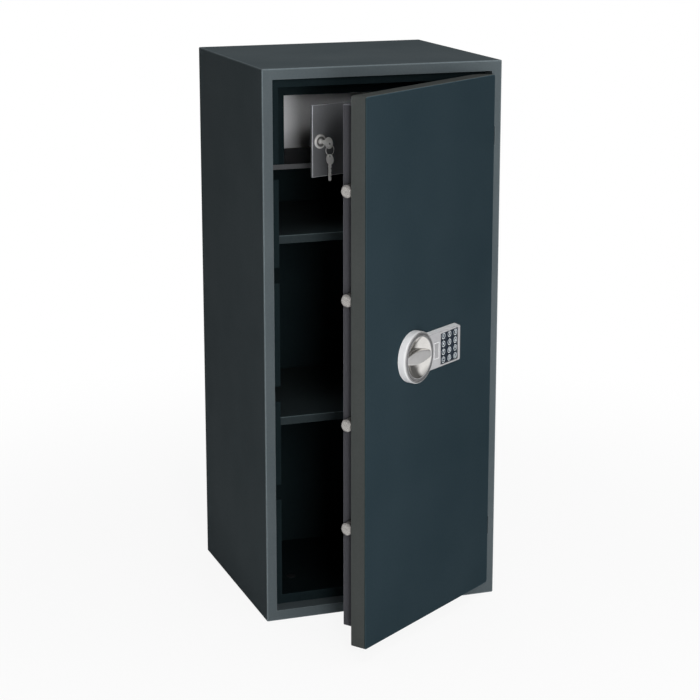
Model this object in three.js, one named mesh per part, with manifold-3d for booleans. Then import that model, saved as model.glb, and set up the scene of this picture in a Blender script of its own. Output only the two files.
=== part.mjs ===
// A tall furniture safe of folded sheet steel, shown as it stands with its door ajar.
//
// The cabinet is five panels behind a folded front frame, with two shelves on slotted rails
// and a small lockable compartment at the top. The door is a flat steel slab hung inside the
// frame on the right. Behind it a case covers the lockwork: a knob on the front turns a cam
// disc, whose spiral slot draws a bar with four round bolts sideways.
//
// Lengths are millimetres. Each piece is drawn with its door closed: x runs to the right from
// the cabinet's left side, y runs back from its front, z runs up from the floor. The last
// section swings the doors open and puts the origin at the centre of the cabinet's base.

import * as THREE from 'three';
import { mergeVertices } from 'three/addons/utils/BufferGeometryUtils.js';
import Module from 'manifold-3d';

const wasm = await Module();
wasm.setup();

// Clearances that many pieces share.
const snug = 0.3;
const sliding = 0.5;

// Cabinet body.
const cabinetWidth = 445;
const cabinetHeight = 1000;
const cabinetDepth = 400;
const bodySheet = 2.5;

// Front frame. Behind each strip a web runs back to a flange that the door closes against.
const stripWidth = 19;
const flangeReachSide = 20;
const flangeReachEnd = 17;
const keeperDepth = 60;

// Door slab, its gaps in the frame, and how far it stands open.
const slabThickness = 30;
const slabFrontSheet = 3;
const slabEdgeSheet = 2.5;
const slabBackSheet = 2;
const slabCornerRadius = 5;
const slabSideGap = 4;
const slabEndGap = 5;
const slabStopGap = 2;
const doorAngle = 35;
const stiffenerWidth = 40;
const stiffenerSetIn = 60;
const stiffenerHingeSetIn = 80;
const stiffenerEndGap = 20;

// Hinge pivot of the door, inside the right frame member.
const pivotInset = 9;
const pivotSetback = 9;
const hingePinRadius = 3;
const hingeArmHeight = 26;
const hingeBracketSheet = 4;
const hingeEndDistance = 110;

// Lock case behind the slab.
const caseSheet = 1.5;
const caseDepth = 31;
const caseSetIn = 21;
const caseHingeSetIn = 22;
const caseEndSetIn = 22;
const railReach = 14;
const railSheet = 3;
const railSetback = 15;
const railEndGap = 70;
const postSetIn = 100;
const postHingeSetIn = 20;
const postEndGap = 30;
const postRise = 60;

// Bolts and the bar that carries them.
const boltRadius = 11;
const boltChamfer = 3;
const boltSetback = 13;
const boltTipInset = 2.5;
const boltThrow = 17;
const boltLength = 62;
const boltInnerOffset = 108;
const boltFromBottom = 209;
const boltFromTop = 159;
const boltNotchClearance = 3;
const boltHoleClearance = 1;
const barWidth = 24;
const barThickness = 8;
const barOverrun = 28;
const guidePinRadius = 4;
const guideOffset = 195;
const lockworkRise = 25;

// Knob unit on the front.
const knobDrop = 9;
const knobInset = 140;
const housingRadius = 45.5;
const housingHeight = 14.7;
const housingFloor = 2;
const knobRadius = 42.5;
const knobHeight = 12.6;
const knobDish = 7;
const knobRimWidth = 6;
const gripWidth = 22;
const gripEnd = 0.42;
const spindleRadius = 5;
const camRadius = 44;
const camThickness = 4;
const camPinRadius = 4;
const camPinReach = 20;
const camSetback = 5;
const armHeight = 20;
const armThickness = 4;

// Keypad beside the knob.
const keypadRight = 275.5;
const keypadHeight = 67;
const keypadThickness = 12;
const keypadCornerRadius = 4;
const fieldSize = 57;
const fieldMargin = 7.2;
const fieldDepth = 1.6;
const fieldSheet = 2;
const keyRadius = 5.8;
const keyHead = 1.2;
const keyFlange = 1;
const keyTravel = 0.8;
const keyFloor = 4.6;
const plaqueWidth = 17;
const plaqueHeight = 30;
const plaqueThickness = 0.8;

// Lock body with the plunger that blocks the cam disc.
const lockBodyWidth = 60;
const lockBodyHeight = 44;
const lockBodyDepth = 24;
const plungerRadius = 3.5;
const plungerTravel = 6;
const plungerLength = 20;
const notchDepth = 8;
const notchClearance = 0.75;

// Battery tray in the back of the lock case.
const cellRadius = 7;
const cellLength = 50;
const cellCount = 4;
const batteryWall = 1.5;
const batteryLidRim = 5;
const batteryFromHingeSide = 23;
const batteryAboveKnob = 92;

// Shelves and the rails that hold them.
const shelfSheet = 1.5;
const shelfLip = 14.5;
const shelfFront = 66;
const shelfSideGap = 1.5;
const shelfBackGap = 3;
const shelfHook = 1.5;
const railWidth = 20;
const railDepth = 8;
const railWeb = 2;
const frontRail = 75;
const rearRailGap = 32.5;
const railFoot = 30;
const slotPitch = 33.4;
const railTopGap = 5;
const railEnd = 20;
const slotHeight = 5;
const slotWidth = 13;
const firstSlot = 60.9;
const lowerShelfSlot = 9;
const upperShelfFromTop = 2;

// Inner compartment: floor, front panel and sheet door.
const lockerFront = 209;
const lockerHeight = 197.5;
const lockerLip = 9;
const lockerHeader = 71;
const lockerSidePanel = 104;
const lockerHingeStrip = 30;
const lockerDoorGap = 5;
const lockerDoorDrop = 8;
const lockerDoorOverlap = 2;
const lockerDoorDepth = 5;
const lockerDoorSheet = 1.2;
const lockerDoorAngle = 20;
const lockerBarrelRadius = 3.5;
const lockerPinRadius = 1.5;
const lockerKnuckle = 24;
const lockerKnuckleGap = 0.3;
const lockerLeafWidth = 18;

// Cylinder lock, keys and ring of the inner door.
const cylinderInset = 17;
const rosetteRadius = 13;
const rosetteThickness = 3;
const barrelRadius = 8;
const barrelLength = 16;
const plugRadius = 5;
const lockNutRadius = 11;
const lockNutThickness = 5;
const lockCamLength = 28;
const lockCamWidth = 12;
const lockCamSheet = 2;
const lockCamCrank = 8;
const keyBowRadius = 10.5;
const keySheet = 2.2;
const keyBladeWidth = 8;
const keyBladeLength = 17;
const keyBowOut = 22;
const keyHoleRadius = 2.5;
const keyHoleOffset = 3;
const spareHoleOffset = 6;
const spareBladeLength = 28;
const ringRadius = 9.2;
const ringWire = 0.8;

// Small fixings.
const screwShankRadius = 2;
const standoffRadius = 4;
const anchorHoleRadius = 6;
const anchorInset = 110;
const anchorHeight = 250;

// Surfaces.
const surfaces = {
  cabinetPaint: [0x3a4245, 0.55, 0.2],
  framePaint: [0x4a5357, 0.5, 0.2],
  doorPaint: [0x2c383c, 0.5, 0.2],
  casePaint: [0x3c3c41, 0.55, 0.2],
  innerPaint: [0x47474c, 0.6, 0.1],
  satinNickel: [0xb9bab8, 0.3, 1.0],
  brightNickel: [0xc8c6c2, 0.2, 1.0],
  steel: [0x9a9c9e, 0.4, 0.9],
  zincSteel: [0xa6a8a4, 0.45, 0.8],
  blackPlastic: [0x17191c, 0.45, 0.0],
  fieldPlastic: [0x1b2430, 0.35, 0.0],
  keyPlastic: [0x28323e, 0.4, 0.0],
};

// Places that follow from the sizes above.
const frameLeft = stripWidth;
const frameRight = cabinetWidth - stripWidth;
const frameBottom = stripWidth;
const frameTop = cabinetHeight - stripWidth;
const innerRight = cabinetWidth - bodySheet;
const innerTop = cabinetHeight - bodySheet;
const innerBack = cabinetDepth - bodySheet;

const slabLeft = frameLeft + slabSideGap;
const slabRight = frameRight - slabSideGap;
const slabBottom = frameBottom + slabEndGap;
const slabTop = frameTop - slabEndGap;
const flangeFront = slabThickness + slabStopGap;
const flangeBack = flangeFront + bodySheet;

const caseLeft = slabLeft + caseSetIn;
const caseRight = slabRight - caseHingeSetIn;
const caseBottom = slabBottom + caseEndSetIn + 4;
const caseTop = slabTop - caseEndSetIn + 4;
const caseBack = slabThickness + caseDepth;
const caseInside = caseBack - caseSheet;

const boltAxis = slabThickness + boltSetback;
const boltTip = slabLeft + boltTipInset;
const lockworkHeight = (slabBottom + slabTop) / 2 + lockworkRise;
const boltHeights = [
  slabBottom + boltFromBottom,
  lockworkHeight - boltInnerOffset,
  lockworkHeight + boltInnerOffset,
  slabTop - boltFromTop,
];
const barLeft = boltTip + boltLength + snug;
const barRight = barLeft + barWidth;
const barFront = boltAxis - barThickness / 2 - 1;
const barBack = barFront + barThickness;

const knobX = slabLeft + knobInset;
const knobZ = lockworkHeight - knobDrop;
const knobBack = -(snug + housingFloor + 0.7);
const camFront = slabThickness + camSetback;
const camBack = camFront + camThickness;
const strokeAngle = Math.PI / 2;
const spiralRise = boltThrow / strokeAngle;

const pivotX = cabinetWidth - pivotInset;
const pivotY = pivotSetback;
const hingeReach = pivotX - slabRight;
const hingeEyeRadius = Math.min(pivotInset, pivotSetback) - bodySheet - sliding;
const hingeHeights = [slabBottom + hingeEndDistance, slabTop - hingeEndDistance];

const keypadX = slabLeft + keypadRight;
const fieldRight = keypadX - fieldMargin;
const fieldLeft = fieldRight - fieldSize;

const lockerFloorTop = innerTop - lockerHeight;
const lockerHeaderBottom = innerTop - lockerHeader;
const lockerOpeningLeft = lockerSidePanel + lockerDoorOverlap;
const lockerOpeningRight = cabinetWidth - lockerHingeStrip - 3;
const lockerPanelBack = lockerFront - sliding;
const lockerPanelFront = lockerPanelBack - lockerDoorDepth;
const lockerPivotX = lockerOpeningRight + lockerBarrelRadius + 1;
const lockerPivotY = lockerPanelBack - lockerBarrelRadius - 1.5;
const lockerDoorBottom = lockerFloorTop - lockerDoorDrop;
const lockerDoorTop = lockerHeaderBottom - lockerDoorGap;
const cylinderX = lockerSidePanel + cylinderInset;
const cylinderZ = (lockerDoorBottom + lockerDoorTop) / 2 - 1;
const rosetteFront = lockerPanelFront - rosetteThickness - snug;

// Solid building blocks.
const radians = (degrees) => (degrees * Math.PI) / 180;

function solid(geometry) {
  geometry.deleteAttribute('normal');
  geometry.deleteAttribute('uv');
  const welded = mergeVertices(geometry, 1e-4);
  return new wasm.Manifold(
    new wasm.Mesh({
      numProp: 3,
      vertProperties: new Float32Array(welded.attributes.position.array),
      triVerts: new Uint32Array(welded.index.array),
    }),
  );
}

function block(x0, x1, y0, y1, z0, z1) {
  const box = new THREE.BoxGeometry(x1 - x0, y1 - y0, z1 - z0);
  box.translate((x0 + x1) / 2, (y0 + y1) / 2, (z0 + z1) / 2);
  return solid(box);
}

// A turned bar: profile points are [radius, distance along the bar], and the two last numbers
// place its axis in the other two directions.
function turned(profile, axis, from, across, up, sides = 32) {
  const closed = [...profile, profile[0]].map(([r, d]) => new THREE.Vector2(r, d));
  const bar = new THREE.LatheGeometry(closed, sides);
  if (axis === 'x') {
    bar.rotateZ(-Math.PI / 2);
    bar.translate(from, across, up);
  } else if (axis === 'y') {
    bar.translate(across, from, up);
  } else {
    bar.rotateX(Math.PI / 2);
    bar.translate(across, up, from);
  }
  return solid(bar);
}

function rod(axis, radius, from, to, across, up, sides = 32) {
  return turned([[0, 0], [radius, 0], [radius, to - from], [0, to - from]], axis, from, across, up, sides);
}

// A flat piece in the plane of the doors, from y0 at its front to y1 at its back.
function upright(shape, y0, y1, curve = 12) {
  const plate = new THREE.ExtrudeGeometry(shape, {
    depth: y1 - y0,
    bevelEnabled: false,
    curveSegments: curve,
  });
  plate.rotateX(Math.PI / 2);
  plate.translate(0, y1, 0);
  return solid(plate);
}

// A flat piece seen from above, from z0 to z1.
function level(shape, z0, z1, curve = 12) {
  const plate = new THREE.ExtrudeGeometry(shape, {
    depth: z1 - z0,
    bevelEnabled: false,
    curveSegments: curve,
  });
  plate.translate(0, 0, z0);
  return solid(plate);
}

// A flat piece seen from the side: its shape is drawn in y and z, from x0 to x1.
function sideways(shape, x0, x1, curve = 12) {
  const plate = new THREE.ExtrudeGeometry(shape, {
    depth: x1 - x0,
    bevelEnabled: false,
    curveSegments: curve,
  });
  const turn = new THREE.Matrix4().makeBasis(
    new THREE.Vector3(0, 1, 0),
    new THREE.Vector3(0, 0, 1),
    new THREE.Vector3(1, 0, 0),
  );
  plate.applyMatrix4(turn);
  plate.translate(x0, 0, 0);
  return solid(plate);
}

function polygon(points) {
  return new THREE.Shape(points.map(([a, b]) => new THREE.Vector2(a, b)));
}

function roundedRectangle(x0, x1, z0, z1, radius) {
  const outline = new THREE.Shape();
  outline.absarc(x1 - radius, z0 + radius, radius, -Math.PI / 2, 0, false);
  outline.absarc(x1 - radius, z1 - radius, radius, 0, Math.PI / 2, false);
  outline.absarc(x0 + radius, z1 - radius, radius, Math.PI / 2, Math.PI, false);
  outline.absarc(x0 + radius, z0 + radius, radius, Math.PI, Math.PI * 1.5, false);
  return outline;
}

const join = (pieces) => pieces.reduce((whole, piece) => whole.add(piece));
const cut = (whole, ...tools) => tools.reduce((rest, tool) => rest.subtract(tool), whole);

// Poses: how each group of pieces is swung from its closed place.
const toOrigin = new THREE.Matrix4().makeTranslation(-cabinetWidth / 2, -cabinetDepth / 2, 0);

function swing(x, y, degrees) {
  return new THREE.Matrix4()
    .makeTranslation(x, y, 0)
    .multiply(new THREE.Matrix4().makeRotationZ(radians(degrees)))
    .multiply(new THREE.Matrix4().makeTranslation(-x, -y, 0));
}

const poses = {
  cabinet: toOrigin,
  door: toOrigin.clone().multiply(swing(pivotX, pivotY, doorAngle)),
  lockerDoor: toOrigin.clone().multiply(swing(lockerPivotX, lockerPivotY, lockerDoorAngle)),
};

const safe = new THREE.Group();
safe.name = 'furniture_safe';

function add(name, shape, surface, pose = 'cabinet') {
  const mesh = shape.getMesh();
  const indexed = new THREE.BufferGeometry();
  indexed.setAttribute('position', new THREE.BufferAttribute(mesh.vertProperties, 3));
  indexed.setIndex(new THREE.BufferAttribute(mesh.triVerts, 1));
  const geometry = indexed.toNonIndexed();
  geometry.applyMatrix4(poses[pose]);
  geometry.computeVertexNormals();
  const [color, roughness, metalness] = surfaces[surface];
  const material = new THREE.MeshStandardMaterial({ color, roughness, metalness });
  material.name = surface;
  const piece = new THREE.Mesh(geometry, material);
  piece.name = name;
  safe.add(piece);
}

// Anchor holes go through the base and the back, two in each.
const anchorX = [anchorInset, cabinetWidth - anchorInset];

function bodyPanels() {
  add('side_panel_left', block(0, bodySheet, bodySheet, cabinetDepth, 0, cabinetHeight), 'cabinetPaint');
  add(
    'side_panel_right',
    block(innerRight, cabinetWidth, bodySheet, cabinetDepth, 0, cabinetHeight),
    'cabinetPaint',
  );
  add(
    'top_panel',
    block(bodySheet, innerRight, bodySheet, cabinetDepth, innerTop, cabinetHeight),
    'cabinetPaint',
  );
  const base = block(bodySheet, innerRight, bodySheet, cabinetDepth, 0, bodySheet);
  const baseHoles = anchorX.map((x) => rod('z', anchorHoleRadius, -1, bodySheet + 1, x, cabinetDepth / 2, 24));
  add('bottom_panel', cut(base, ...baseHoles), 'cabinetPaint');
  const back = block(bodySheet, innerRight, innerBack, cabinetDepth, bodySheet, innerTop);
  const backHoles = anchorX.map((x) =>
    rod('y', anchorHoleRadius, innerBack - 1, cabinetDepth + 1, x, anchorHeight, 24),
  );
  add('back_panel', cut(back, ...backHoles), 'cabinetPaint');
}

// The lock side of the frame is a closed box. The flange is notched where the bolts stand out
// of the door, and the box's inner wall has a square hole for each of them.
function lockSideMember() {
  const webLeft = frameLeft - bodySheet;
  let member = join([
    block(0, frameLeft, 0, bodySheet, 0, cabinetHeight),
    block(webLeft, frameLeft, 0, keeperDepth, frameBottom, frameTop),
    block(webLeft, frameLeft + flangeReachSide, flangeFront, flangeBack, frameBottom, frameTop),
    block(bodySheet, frameLeft, keeperDepth - bodySheet, keeperDepth, frameBottom, frameTop),
  ]);
  const notch = boltRadius + boltNotchClearance;
  const hole = boltRadius + boltHoleClearance;
  for (const z of boltHeights) {
    member = cut(
      member,
      block(
        frameLeft, frameLeft + flangeReachSide + 1, flangeFront - 1, flangeBack + 1, z - notch, z + notch,
      ),
      block(webLeft - 1, frameLeft + 1, boltAxis - hole, boltAxis + hole, z - hole, z + hole),
    );
  }
  add('frame_member_lock_side', member, 'framePaint');
}

// The hinge side leaves room for the two hinge arms to swing out past its front corner.
function hingeSideMember() {
  const webRight = frameRight + bodySheet;
  let member = join([
    block(frameRight, cabinetWidth, 0, bodySheet, 0, cabinetHeight),
    block(frameRight, webRight, 0, flangeBack, frameBottom, frameTop),
    block(frameRight - flangeReachSide, webRight, flangeFront, flangeBack, frameBottom, frameTop),
  ]);
  const half = hingeArmHeight / 2 + sliding + hingeBracketSheet + sliding;
  for (const z of hingeHeights) {
    member = cut(member, block(frameRight - 1, pivotX - 3, -1, slabThickness - 1.5, z - half, z + half));
  }
  add('frame_member_hinge_side', member, 'framePaint');
}

function endMember(name, outer, inner, tip) {
  const sheetEdge = inner + Math.sign(outer - inner) * bodySheet;
  const span = (a, b) => [Math.min(a, b), Math.max(a, b)];
  const left = frameLeft + flangeReachSide;
  const right = frameRight - flangeReachSide;
  const member = join([
    block(frameLeft, frameRight, 0, bodySheet, ...span(outer, inner)),
    block(frameLeft, frameRight, 0, flangeFront, ...span(sheetEdge, inner)),
    block(left, right, flangeFront, flangeBack, ...span(sheetEdge, tip)),
  ]);
  add(name, member, 'framePaint');
}

// Hinges: an arm on the slab's edge bends round the frame's web to a pin inside the member.
function hingeBracket(z) {
  const near = pivotX - hingeEyeRadius;
  const front = bodySheet + snug;
  const eyeBack = pivotY + hingeEyeRadius + 0.8;
  const reach = hingeArmHeight / 2 + sliding + hingeBracketSheet;
  const plates = [-reach, reach - hingeBracketSheet].map((offset) =>
    block(near, innerRight, front, eyeBack, z + offset, z + offset + hingeBracketSheet),
  );
  const bridge = block(
    pivotX + 1.5, innerRight, eyeBack, eyeBack + bodySheet, z - reach, z + reach,
  );
  return join([...plates, bridge, rod('z', hingePinRadius, z - reach, z + reach, pivotX, pivotY, 24)]);
}

function hingeArm(z) {
  const eye = new THREE.Shape();
  eye.absarc(pivotX, pivotY, hingeEyeRadius, 0, Math.PI * 2, false);
  const neck = [
    [-0.35, 0.3], [-0.65, 0.33], [-1, 0.5], [-1, 1.25], [-0.55, 1], [0, 0.4], [0, 0.1], [-0.3, 0.1],
  ].map(([across, back]) => [
    Math.max(pivotX + across * hingeReach, slabRight + snug),
    pivotY + back * hingeReach,
  ]);
  const z0 = z - hingeArmHeight / 2;
  const z1 = z + hingeArmHeight / 2;
  return cut(
    join([level(eye, z0, z1, 16), level(polygon(neck.reverse()), z0, z1)]),
    rod('z', hingePinRadius + 0.06, z0 - 1, z1 + 1, pivotX, pivotY, 24),
  );
}

// Door slab: a tray with its open side to the rear, closed by a plate let in flush.
function doorSlab() {
  const outline = roundedRectangle(slabLeft, slabRight, slabBottom, slabTop, slabCornerRadius);
  const inside = roundedRectangle(
    slabLeft + slabEdgeSheet, slabRight - slabEdgeSheet,
    slabBottom + slabEdgeSheet, slabTop - slabEdgeSheet, slabCornerRadius - slabEdgeSheet,
  );
  const spindleHole = rod('y', spindleRadius + sliding, -1, slabThickness + 1, knobX, knobZ);
  const tray = cut(
    upright(outline, 0, slabThickness, 6),
    upright(inside, slabFrontSheet, slabThickness + 1, 6),
    spindleHole,
  );
  add('door_slab', tray, 'doorPaint', 'door');
  const lining = roundedRectangle(
    slabLeft + slabEdgeSheet + snug, slabRight - slabEdgeSheet - snug,
    slabBottom + slabEdgeSheet + snug, slabTop - slabEdgeSheet - snug, slabCornerRadius - slabEdgeSheet,
  );
  const plate = cut(upright(lining, slabThickness - slabBackSheet, slabThickness, 6), spindleHole);
  add('door_back_plate', join([plate, ...casePosts(), ...guidePosts()]), 'casePaint', 'door');
}

// Two channels tied at their ends stiffen the slab between its front sheet and back plate.
function stiffener() {
  const front = slabFrontSheet + snug;
  const back = slabThickness - slabBackSheet - snug;
  const bottom = slabBottom + slabEdgeSheet + stiffenerEndGap;
  const top = slabTop - slabEdgeSheet - stiffenerEndGap;
  const width = stiffenerWidth;
  const channel = (x) =>
    join([
      block(x, x + width, front, front + slabBackSheet, bottom, top),
      block(x, x + slabBackSheet, front, back, bottom, top),
      block(x + width - slabBackSheet, x + width, front, back, bottom, top),
    ]);
  const x0 = slabLeft + stiffenerSetIn;
  const x1 = slabRight - stiffenerHingeSetIn - width;
  const tie = (z) => block(x0, x1 + width, front, front + slabBackSheet, z, z + width);
  const frame = join([channel(x0), channel(x1), tie(bottom), tie(top - width)]);
  add('slab_stiffener', frame, 'zincSteel', 'door');
}

// Six posts carry the lock case; the screws go in from the case's back.
const postX = [caseLeft + postSetIn, caseRight - postHingeSetIn];
const postZ = [caseBottom + postEndGap, lockworkHeight + postRise, caseTop - postEndGap];
const posts = postX.flatMap((x) => postZ.map((z) => [x, z]));

function casePosts() {
  return posts.map(([x, z]) =>
    cut(
      rod('y', standoffRadius, slabThickness - slabBackSheet, caseInside - snug, x, z, 20),
      rod('y', screwShankRadius, caseInside - 10, caseInside + 1, x, z, 16),
    ),
  );
}

const batteryRight = caseRight - batteryFromHingeSide;
const batteryLeft = batteryRight - cellLength - 2 * batteryWall - 1;
const batteryBottom = knobZ + batteryAboveKnob;
const batteryTop = batteryBottom + cellCount * 2 * cellRadius + 2 * batteryWall + 2;
const batteryFront = caseInside - 2 * cellRadius - batteryWall - 1;

function lockCase() {
  const shell = cut(
    block(caseLeft, caseRight, slabThickness + snug, caseBack, caseBottom, caseTop),
    block(
      caseLeft + caseSheet, caseRight - caseSheet, slabThickness - 1, caseInside,
      caseBottom + caseSheet, caseTop - caseSheet,
    ),
  );
  const boltHoles = boltHeights.map((z) =>
    rod('x', boltRadius + sliding, caseLeft - 1, caseLeft + caseSheet + 1, boltAxis, z),
  );
  const screwHoles = posts.map(([x, z]) =>
    rod('y', screwShankRadius + 0.2, caseInside - 1, caseBack + 1, x, z, 16),
  );
  const lidHole = block(
    batteryLeft + batteryWall, batteryRight - batteryWall, caseInside - 1, caseBack + 1,
    batteryBottom + batteryWall, batteryTop - batteryWall,
  );
  add('lock_case', cut(shell, ...boltHoles, ...screwHoles, lidHole), 'casePaint', 'door');
}

// A fixed rail on the hinge side sits behind the frame's flange when the door is shut.
function interlockRail() {
  const front = slabThickness + railSetback;
  const rail = block(
    caseRight + snug, caseRight + railReach, front, front + railSheet,
    caseBottom + railEndGap, caseTop - railEndGap,
  );
  add('interlock_rail', rail, 'steel', 'door');
}

function bolts() {
  const profile = [
    [0, 0], [boltRadius - boltChamfer, 0], [boltRadius, boltChamfer], [boltRadius, boltLength],
    [0, boltLength],
  ];
  boltHeights.forEach((z, i) => {
    add(`bolt_${i + 1}`, turned(profile, 'x', boltTip, boltAxis, z), 'brightNickel', 'door');
  });
}

// The bolt bar: bolts on its left edge, an arm with the follower pin at the knob's height,
// and two wider tabs whose slots run on fixed guide posts.
const guideHeights = [lockworkHeight - guideOffset, lockworkHeight + guideOffset];
const guideX = barLeft + barWidth / 2;
const armFront = camBack + 2;

function boltBar() {
  const pinX = knobX - camPinReach;
  const bottom = boltHeights[0] - barOverrun;
  const top = boltHeights[3] + barOverrun;
  const slotEnd = guidePinRadius + sliding;
  let bar = join([
    block(barLeft, barRight, barFront, barBack, bottom, top),
    ...guideHeights.map((z) => block(barLeft, barRight + boltThrow, barFront, barBack, z - 12, z + 12)),
    block(
      barRight - 1, pinX + camPinRadius + 3, armFront, armFront + armThickness,
      knobZ - armHeight / 2, knobZ + armHeight / 2,
    ),
    rod('y', camPinRadius, camFront - 1, armFront + 1, pinX, knobZ, 24),
  ]);
  for (const z of guideHeights) {
    bar = cut(
      bar,
      block(guideX, guideX + boltThrow, barFront - 1, barBack + 1, z - slotEnd, z + slotEnd),
      rod('y', slotEnd, barFront - 1, barBack + 1, guideX, z, 24),
      rod('y', slotEnd, barFront - 1, barBack + 1, guideX + boltThrow, z, 24),
    );
  }
  add('bolt_bar', bar, 'zincSteel', 'door');
}

function guidePosts() {
  const start = slabThickness - slabBackSheet;
  const reach = barBack + 1 - start;
  const profile = [
    [0, 0], [guidePinRadius, 0], [guidePinRadius, reach], [guidePinRadius + 3, reach],
    [guidePinRadius + 3, reach + 2], [0, reach + 2],
  ];
  return guideHeights.map((z) => turned(profile, 'y', start, guideX, z, 24));
}

// Knob: a round housing on the slab, a dished disc turning in it, the spindle and the cam disc.
function knobHousing() {
  const profile = [
    [spindleRadius + sliding, 0], [housingRadius, 0], [housingRadius, housingHeight - 2],
    [housingRadius - 1.5, housingHeight], [knobRadius + 0.6, housingHeight],
    [knobRadius + 0.6, housingFloor], [spindleRadius + sliding, housingFloor],
  ];
  const ring = turned(profile.map(([r, d]) => [r, -d]).reverse(), 'y', -snug, knobX, knobZ, 72);
  add('lock_housing', ring, 'satinNickel', 'door');
}

function knobDisc() {
  const front = knobBack - knobHeight;
  const profile = [
    [0, 0], [knobRadius, 0], [knobRadius, knobHeight - 2], [knobRadius - 2, knobHeight],
    [knobRadius - knobRimWidth, knobHeight], [knobRadius - knobRimWidth - 5, knobHeight - knobDish],
    [0, knobHeight - knobDish],
  ];
  const disc = turned(profile.map(([r, d]) => [r, -d]).reverse(), 'y', knobBack, knobX, knobZ, 72);
  const reach = knobRadius - knobRimWidth + 1;
  const half = gripWidth / 2;
  const edge = [-1, -0.75, -0.5, -0.25, 0, 0.25, 0.5, 0.75, 1].map((u) => [
    u * reach * 0.96,
    half * (1 - (1 - gripEnd) * u * u),
  ]);
  const grip = polygon([
    ...edge.map(([u, v]) => [knobX + u, knobZ - v]),
    ...edge.reverse().map(([u, v]) => [knobX + u, knobZ + v]),
  ]);
  add('knob_disc', disc.add(upright(grip, front + 0.5, knobBack)), 'satinNickel', 'door');
}

function spindle() {
  const start = knobBack + snug;
  add('knob_spindle', rod('y', spindleRadius, start, camBack + 1, knobX, knobZ, 24), 'steel', 'door');
}

// The slot's distance from the spindle grows evenly, so a quarter turn draws the bar evenly.
function camDisc() {
  const half = camPinRadius + snug;
  const steps = 24;
  const extra = 0.06;
  const outer = [];
  const inner = [];
  for (let i = 0; i <= steps; i += 1) {
    const turn = -extra + ((strokeAngle + 2 * extra) * i) / steps;
    const r = camPinReach + spiralRise * turn;
    const angle = Math.PI + turn;
    const slope = Math.hypot(r, spiralRise);
    const aside = [
      (r * Math.cos(angle) + spiralRise * Math.sin(angle)) / slope,
      (r * Math.sin(angle) - spiralRise * Math.cos(angle)) / slope,
    ];
    const middle = [knobX + r * Math.cos(angle), knobZ + r * Math.sin(angle)];
    outer.push([middle[0] + half * aside[0], middle[1] + half * aside[1]]);
    inner.push([middle[0] - half * aside[0], middle[1] - half * aside[1]]);
  }
  const slotEnds = [-extra, strokeAngle + extra].map((turn) => {
    const r = camPinReach + spiralRise * turn;
    return rod(
      'y', half, camFront - 1, camBack + 1,
      knobX + r * Math.cos(Math.PI + turn), knobZ + r * Math.sin(Math.PI + turn), 24,
    );
  });
  const slot = upright(polygon([...outer, ...inner.reverse()]), camFront - 1, camBack + 1);
  const notchHalf = plungerRadius + notchClearance;
  const notches = [
    block(
      knobX + camRadius - notchDepth, knobX + camRadius + 1, camFront - 1, camBack + 1,
      knobZ - notchHalf, knobZ + notchHalf,
    ),
    block(
      knobX - notchHalf, knobX + notchHalf, camFront - 1, camBack + 1,
      knobZ + camRadius - notchDepth, knobZ + camRadius + 1,
    ),
  ];
  const disc = cut(
    rod('y', camRadius, camFront, camBack, knobX, knobZ, 72),
    rod('y', spindleRadius + snug, camFront - 1, camBack + 1, knobX, knobZ, 24),
    slot,
    ...slotEnds,
    ...notches,
  );
  add('cam_disc', disc, 'zincSteel', 'door');
}

// Lock body: a closed block beside the cam disc. Its plunger can block the disc at both ends.
const lockBodyLeft = knobX + camRadius + 6;
const plungerAxis = (camFront + camBack) / 2;

function lockBody() {
  const tip = knobX + camRadius + 1.5;
  const bore = tip + plungerLength + 2;
  const body = cut(
    block(
      lockBodyLeft, lockBodyLeft + lockBodyWidth, slabThickness + snug, slabThickness + lockBodyDepth,
      knobZ - lockBodyHeight / 2, knobZ + lockBodyHeight / 2,
    ),
    rod('x', plungerRadius + snug, lockBodyLeft - 1, bore, plungerAxis, knobZ, 24),
  );
  add('lock_body', body, 'blackPlastic', 'door');
  add(
    'blocking_plunger',
    rod('x', plungerRadius, tip, tip + plungerLength, plungerAxis, knobZ, 24),
    'steel',
    'door',
  );
}

function batteryTray() {
  const lidInset = batteryWall + snug;
  const tray = cut(
    block(batteryLeft, batteryRight, batteryFront, caseInside - snug, batteryBottom, batteryTop),
    block(
      batteryLeft + batteryWall, batteryRight - batteryWall, batteryFront + batteryWall, caseInside + 1,
      batteryBottom + batteryWall, batteryTop - batteryWall,
    ),
  );
  add('battery_tray', tray, 'blackPlastic', 'door');
  const lid = join([
    block(
      batteryLeft - batteryLidRim, batteryRight + batteryLidRim, caseBack + snug, caseBack + 1.5,
      batteryBottom - batteryLidRim, batteryTop + batteryLidRim,
    ),
    block(
      batteryLeft + lidInset, batteryRight - lidInset, caseInside, caseBack + 1,
      batteryBottom + lidInset, batteryTop - lidInset,
    ),
  ]);
  add('battery_lid', lid, 'blackPlastic', 'door');
}

// Keypad: a rounded body beside the housing, a pocket with a panel, and twelve round keys.
const keyPanelFront = -(keypadThickness - fieldDepth);
const keyPanelBack = keyPanelFront + fieldSheet;

function keyGrid() {
  const places = [];
  for (let row = 0; row < 4; row += 1) {
    for (let column = 0; column < 3; column += 1) {
      places.push([
        fieldLeft + (fieldSize * (column + 0.5)) / 3,
        knobZ + fieldSize / 2 - (fieldSize * (row + 0.5)) / 4,
      ]);
    }
  }
  return places;
}

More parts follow.
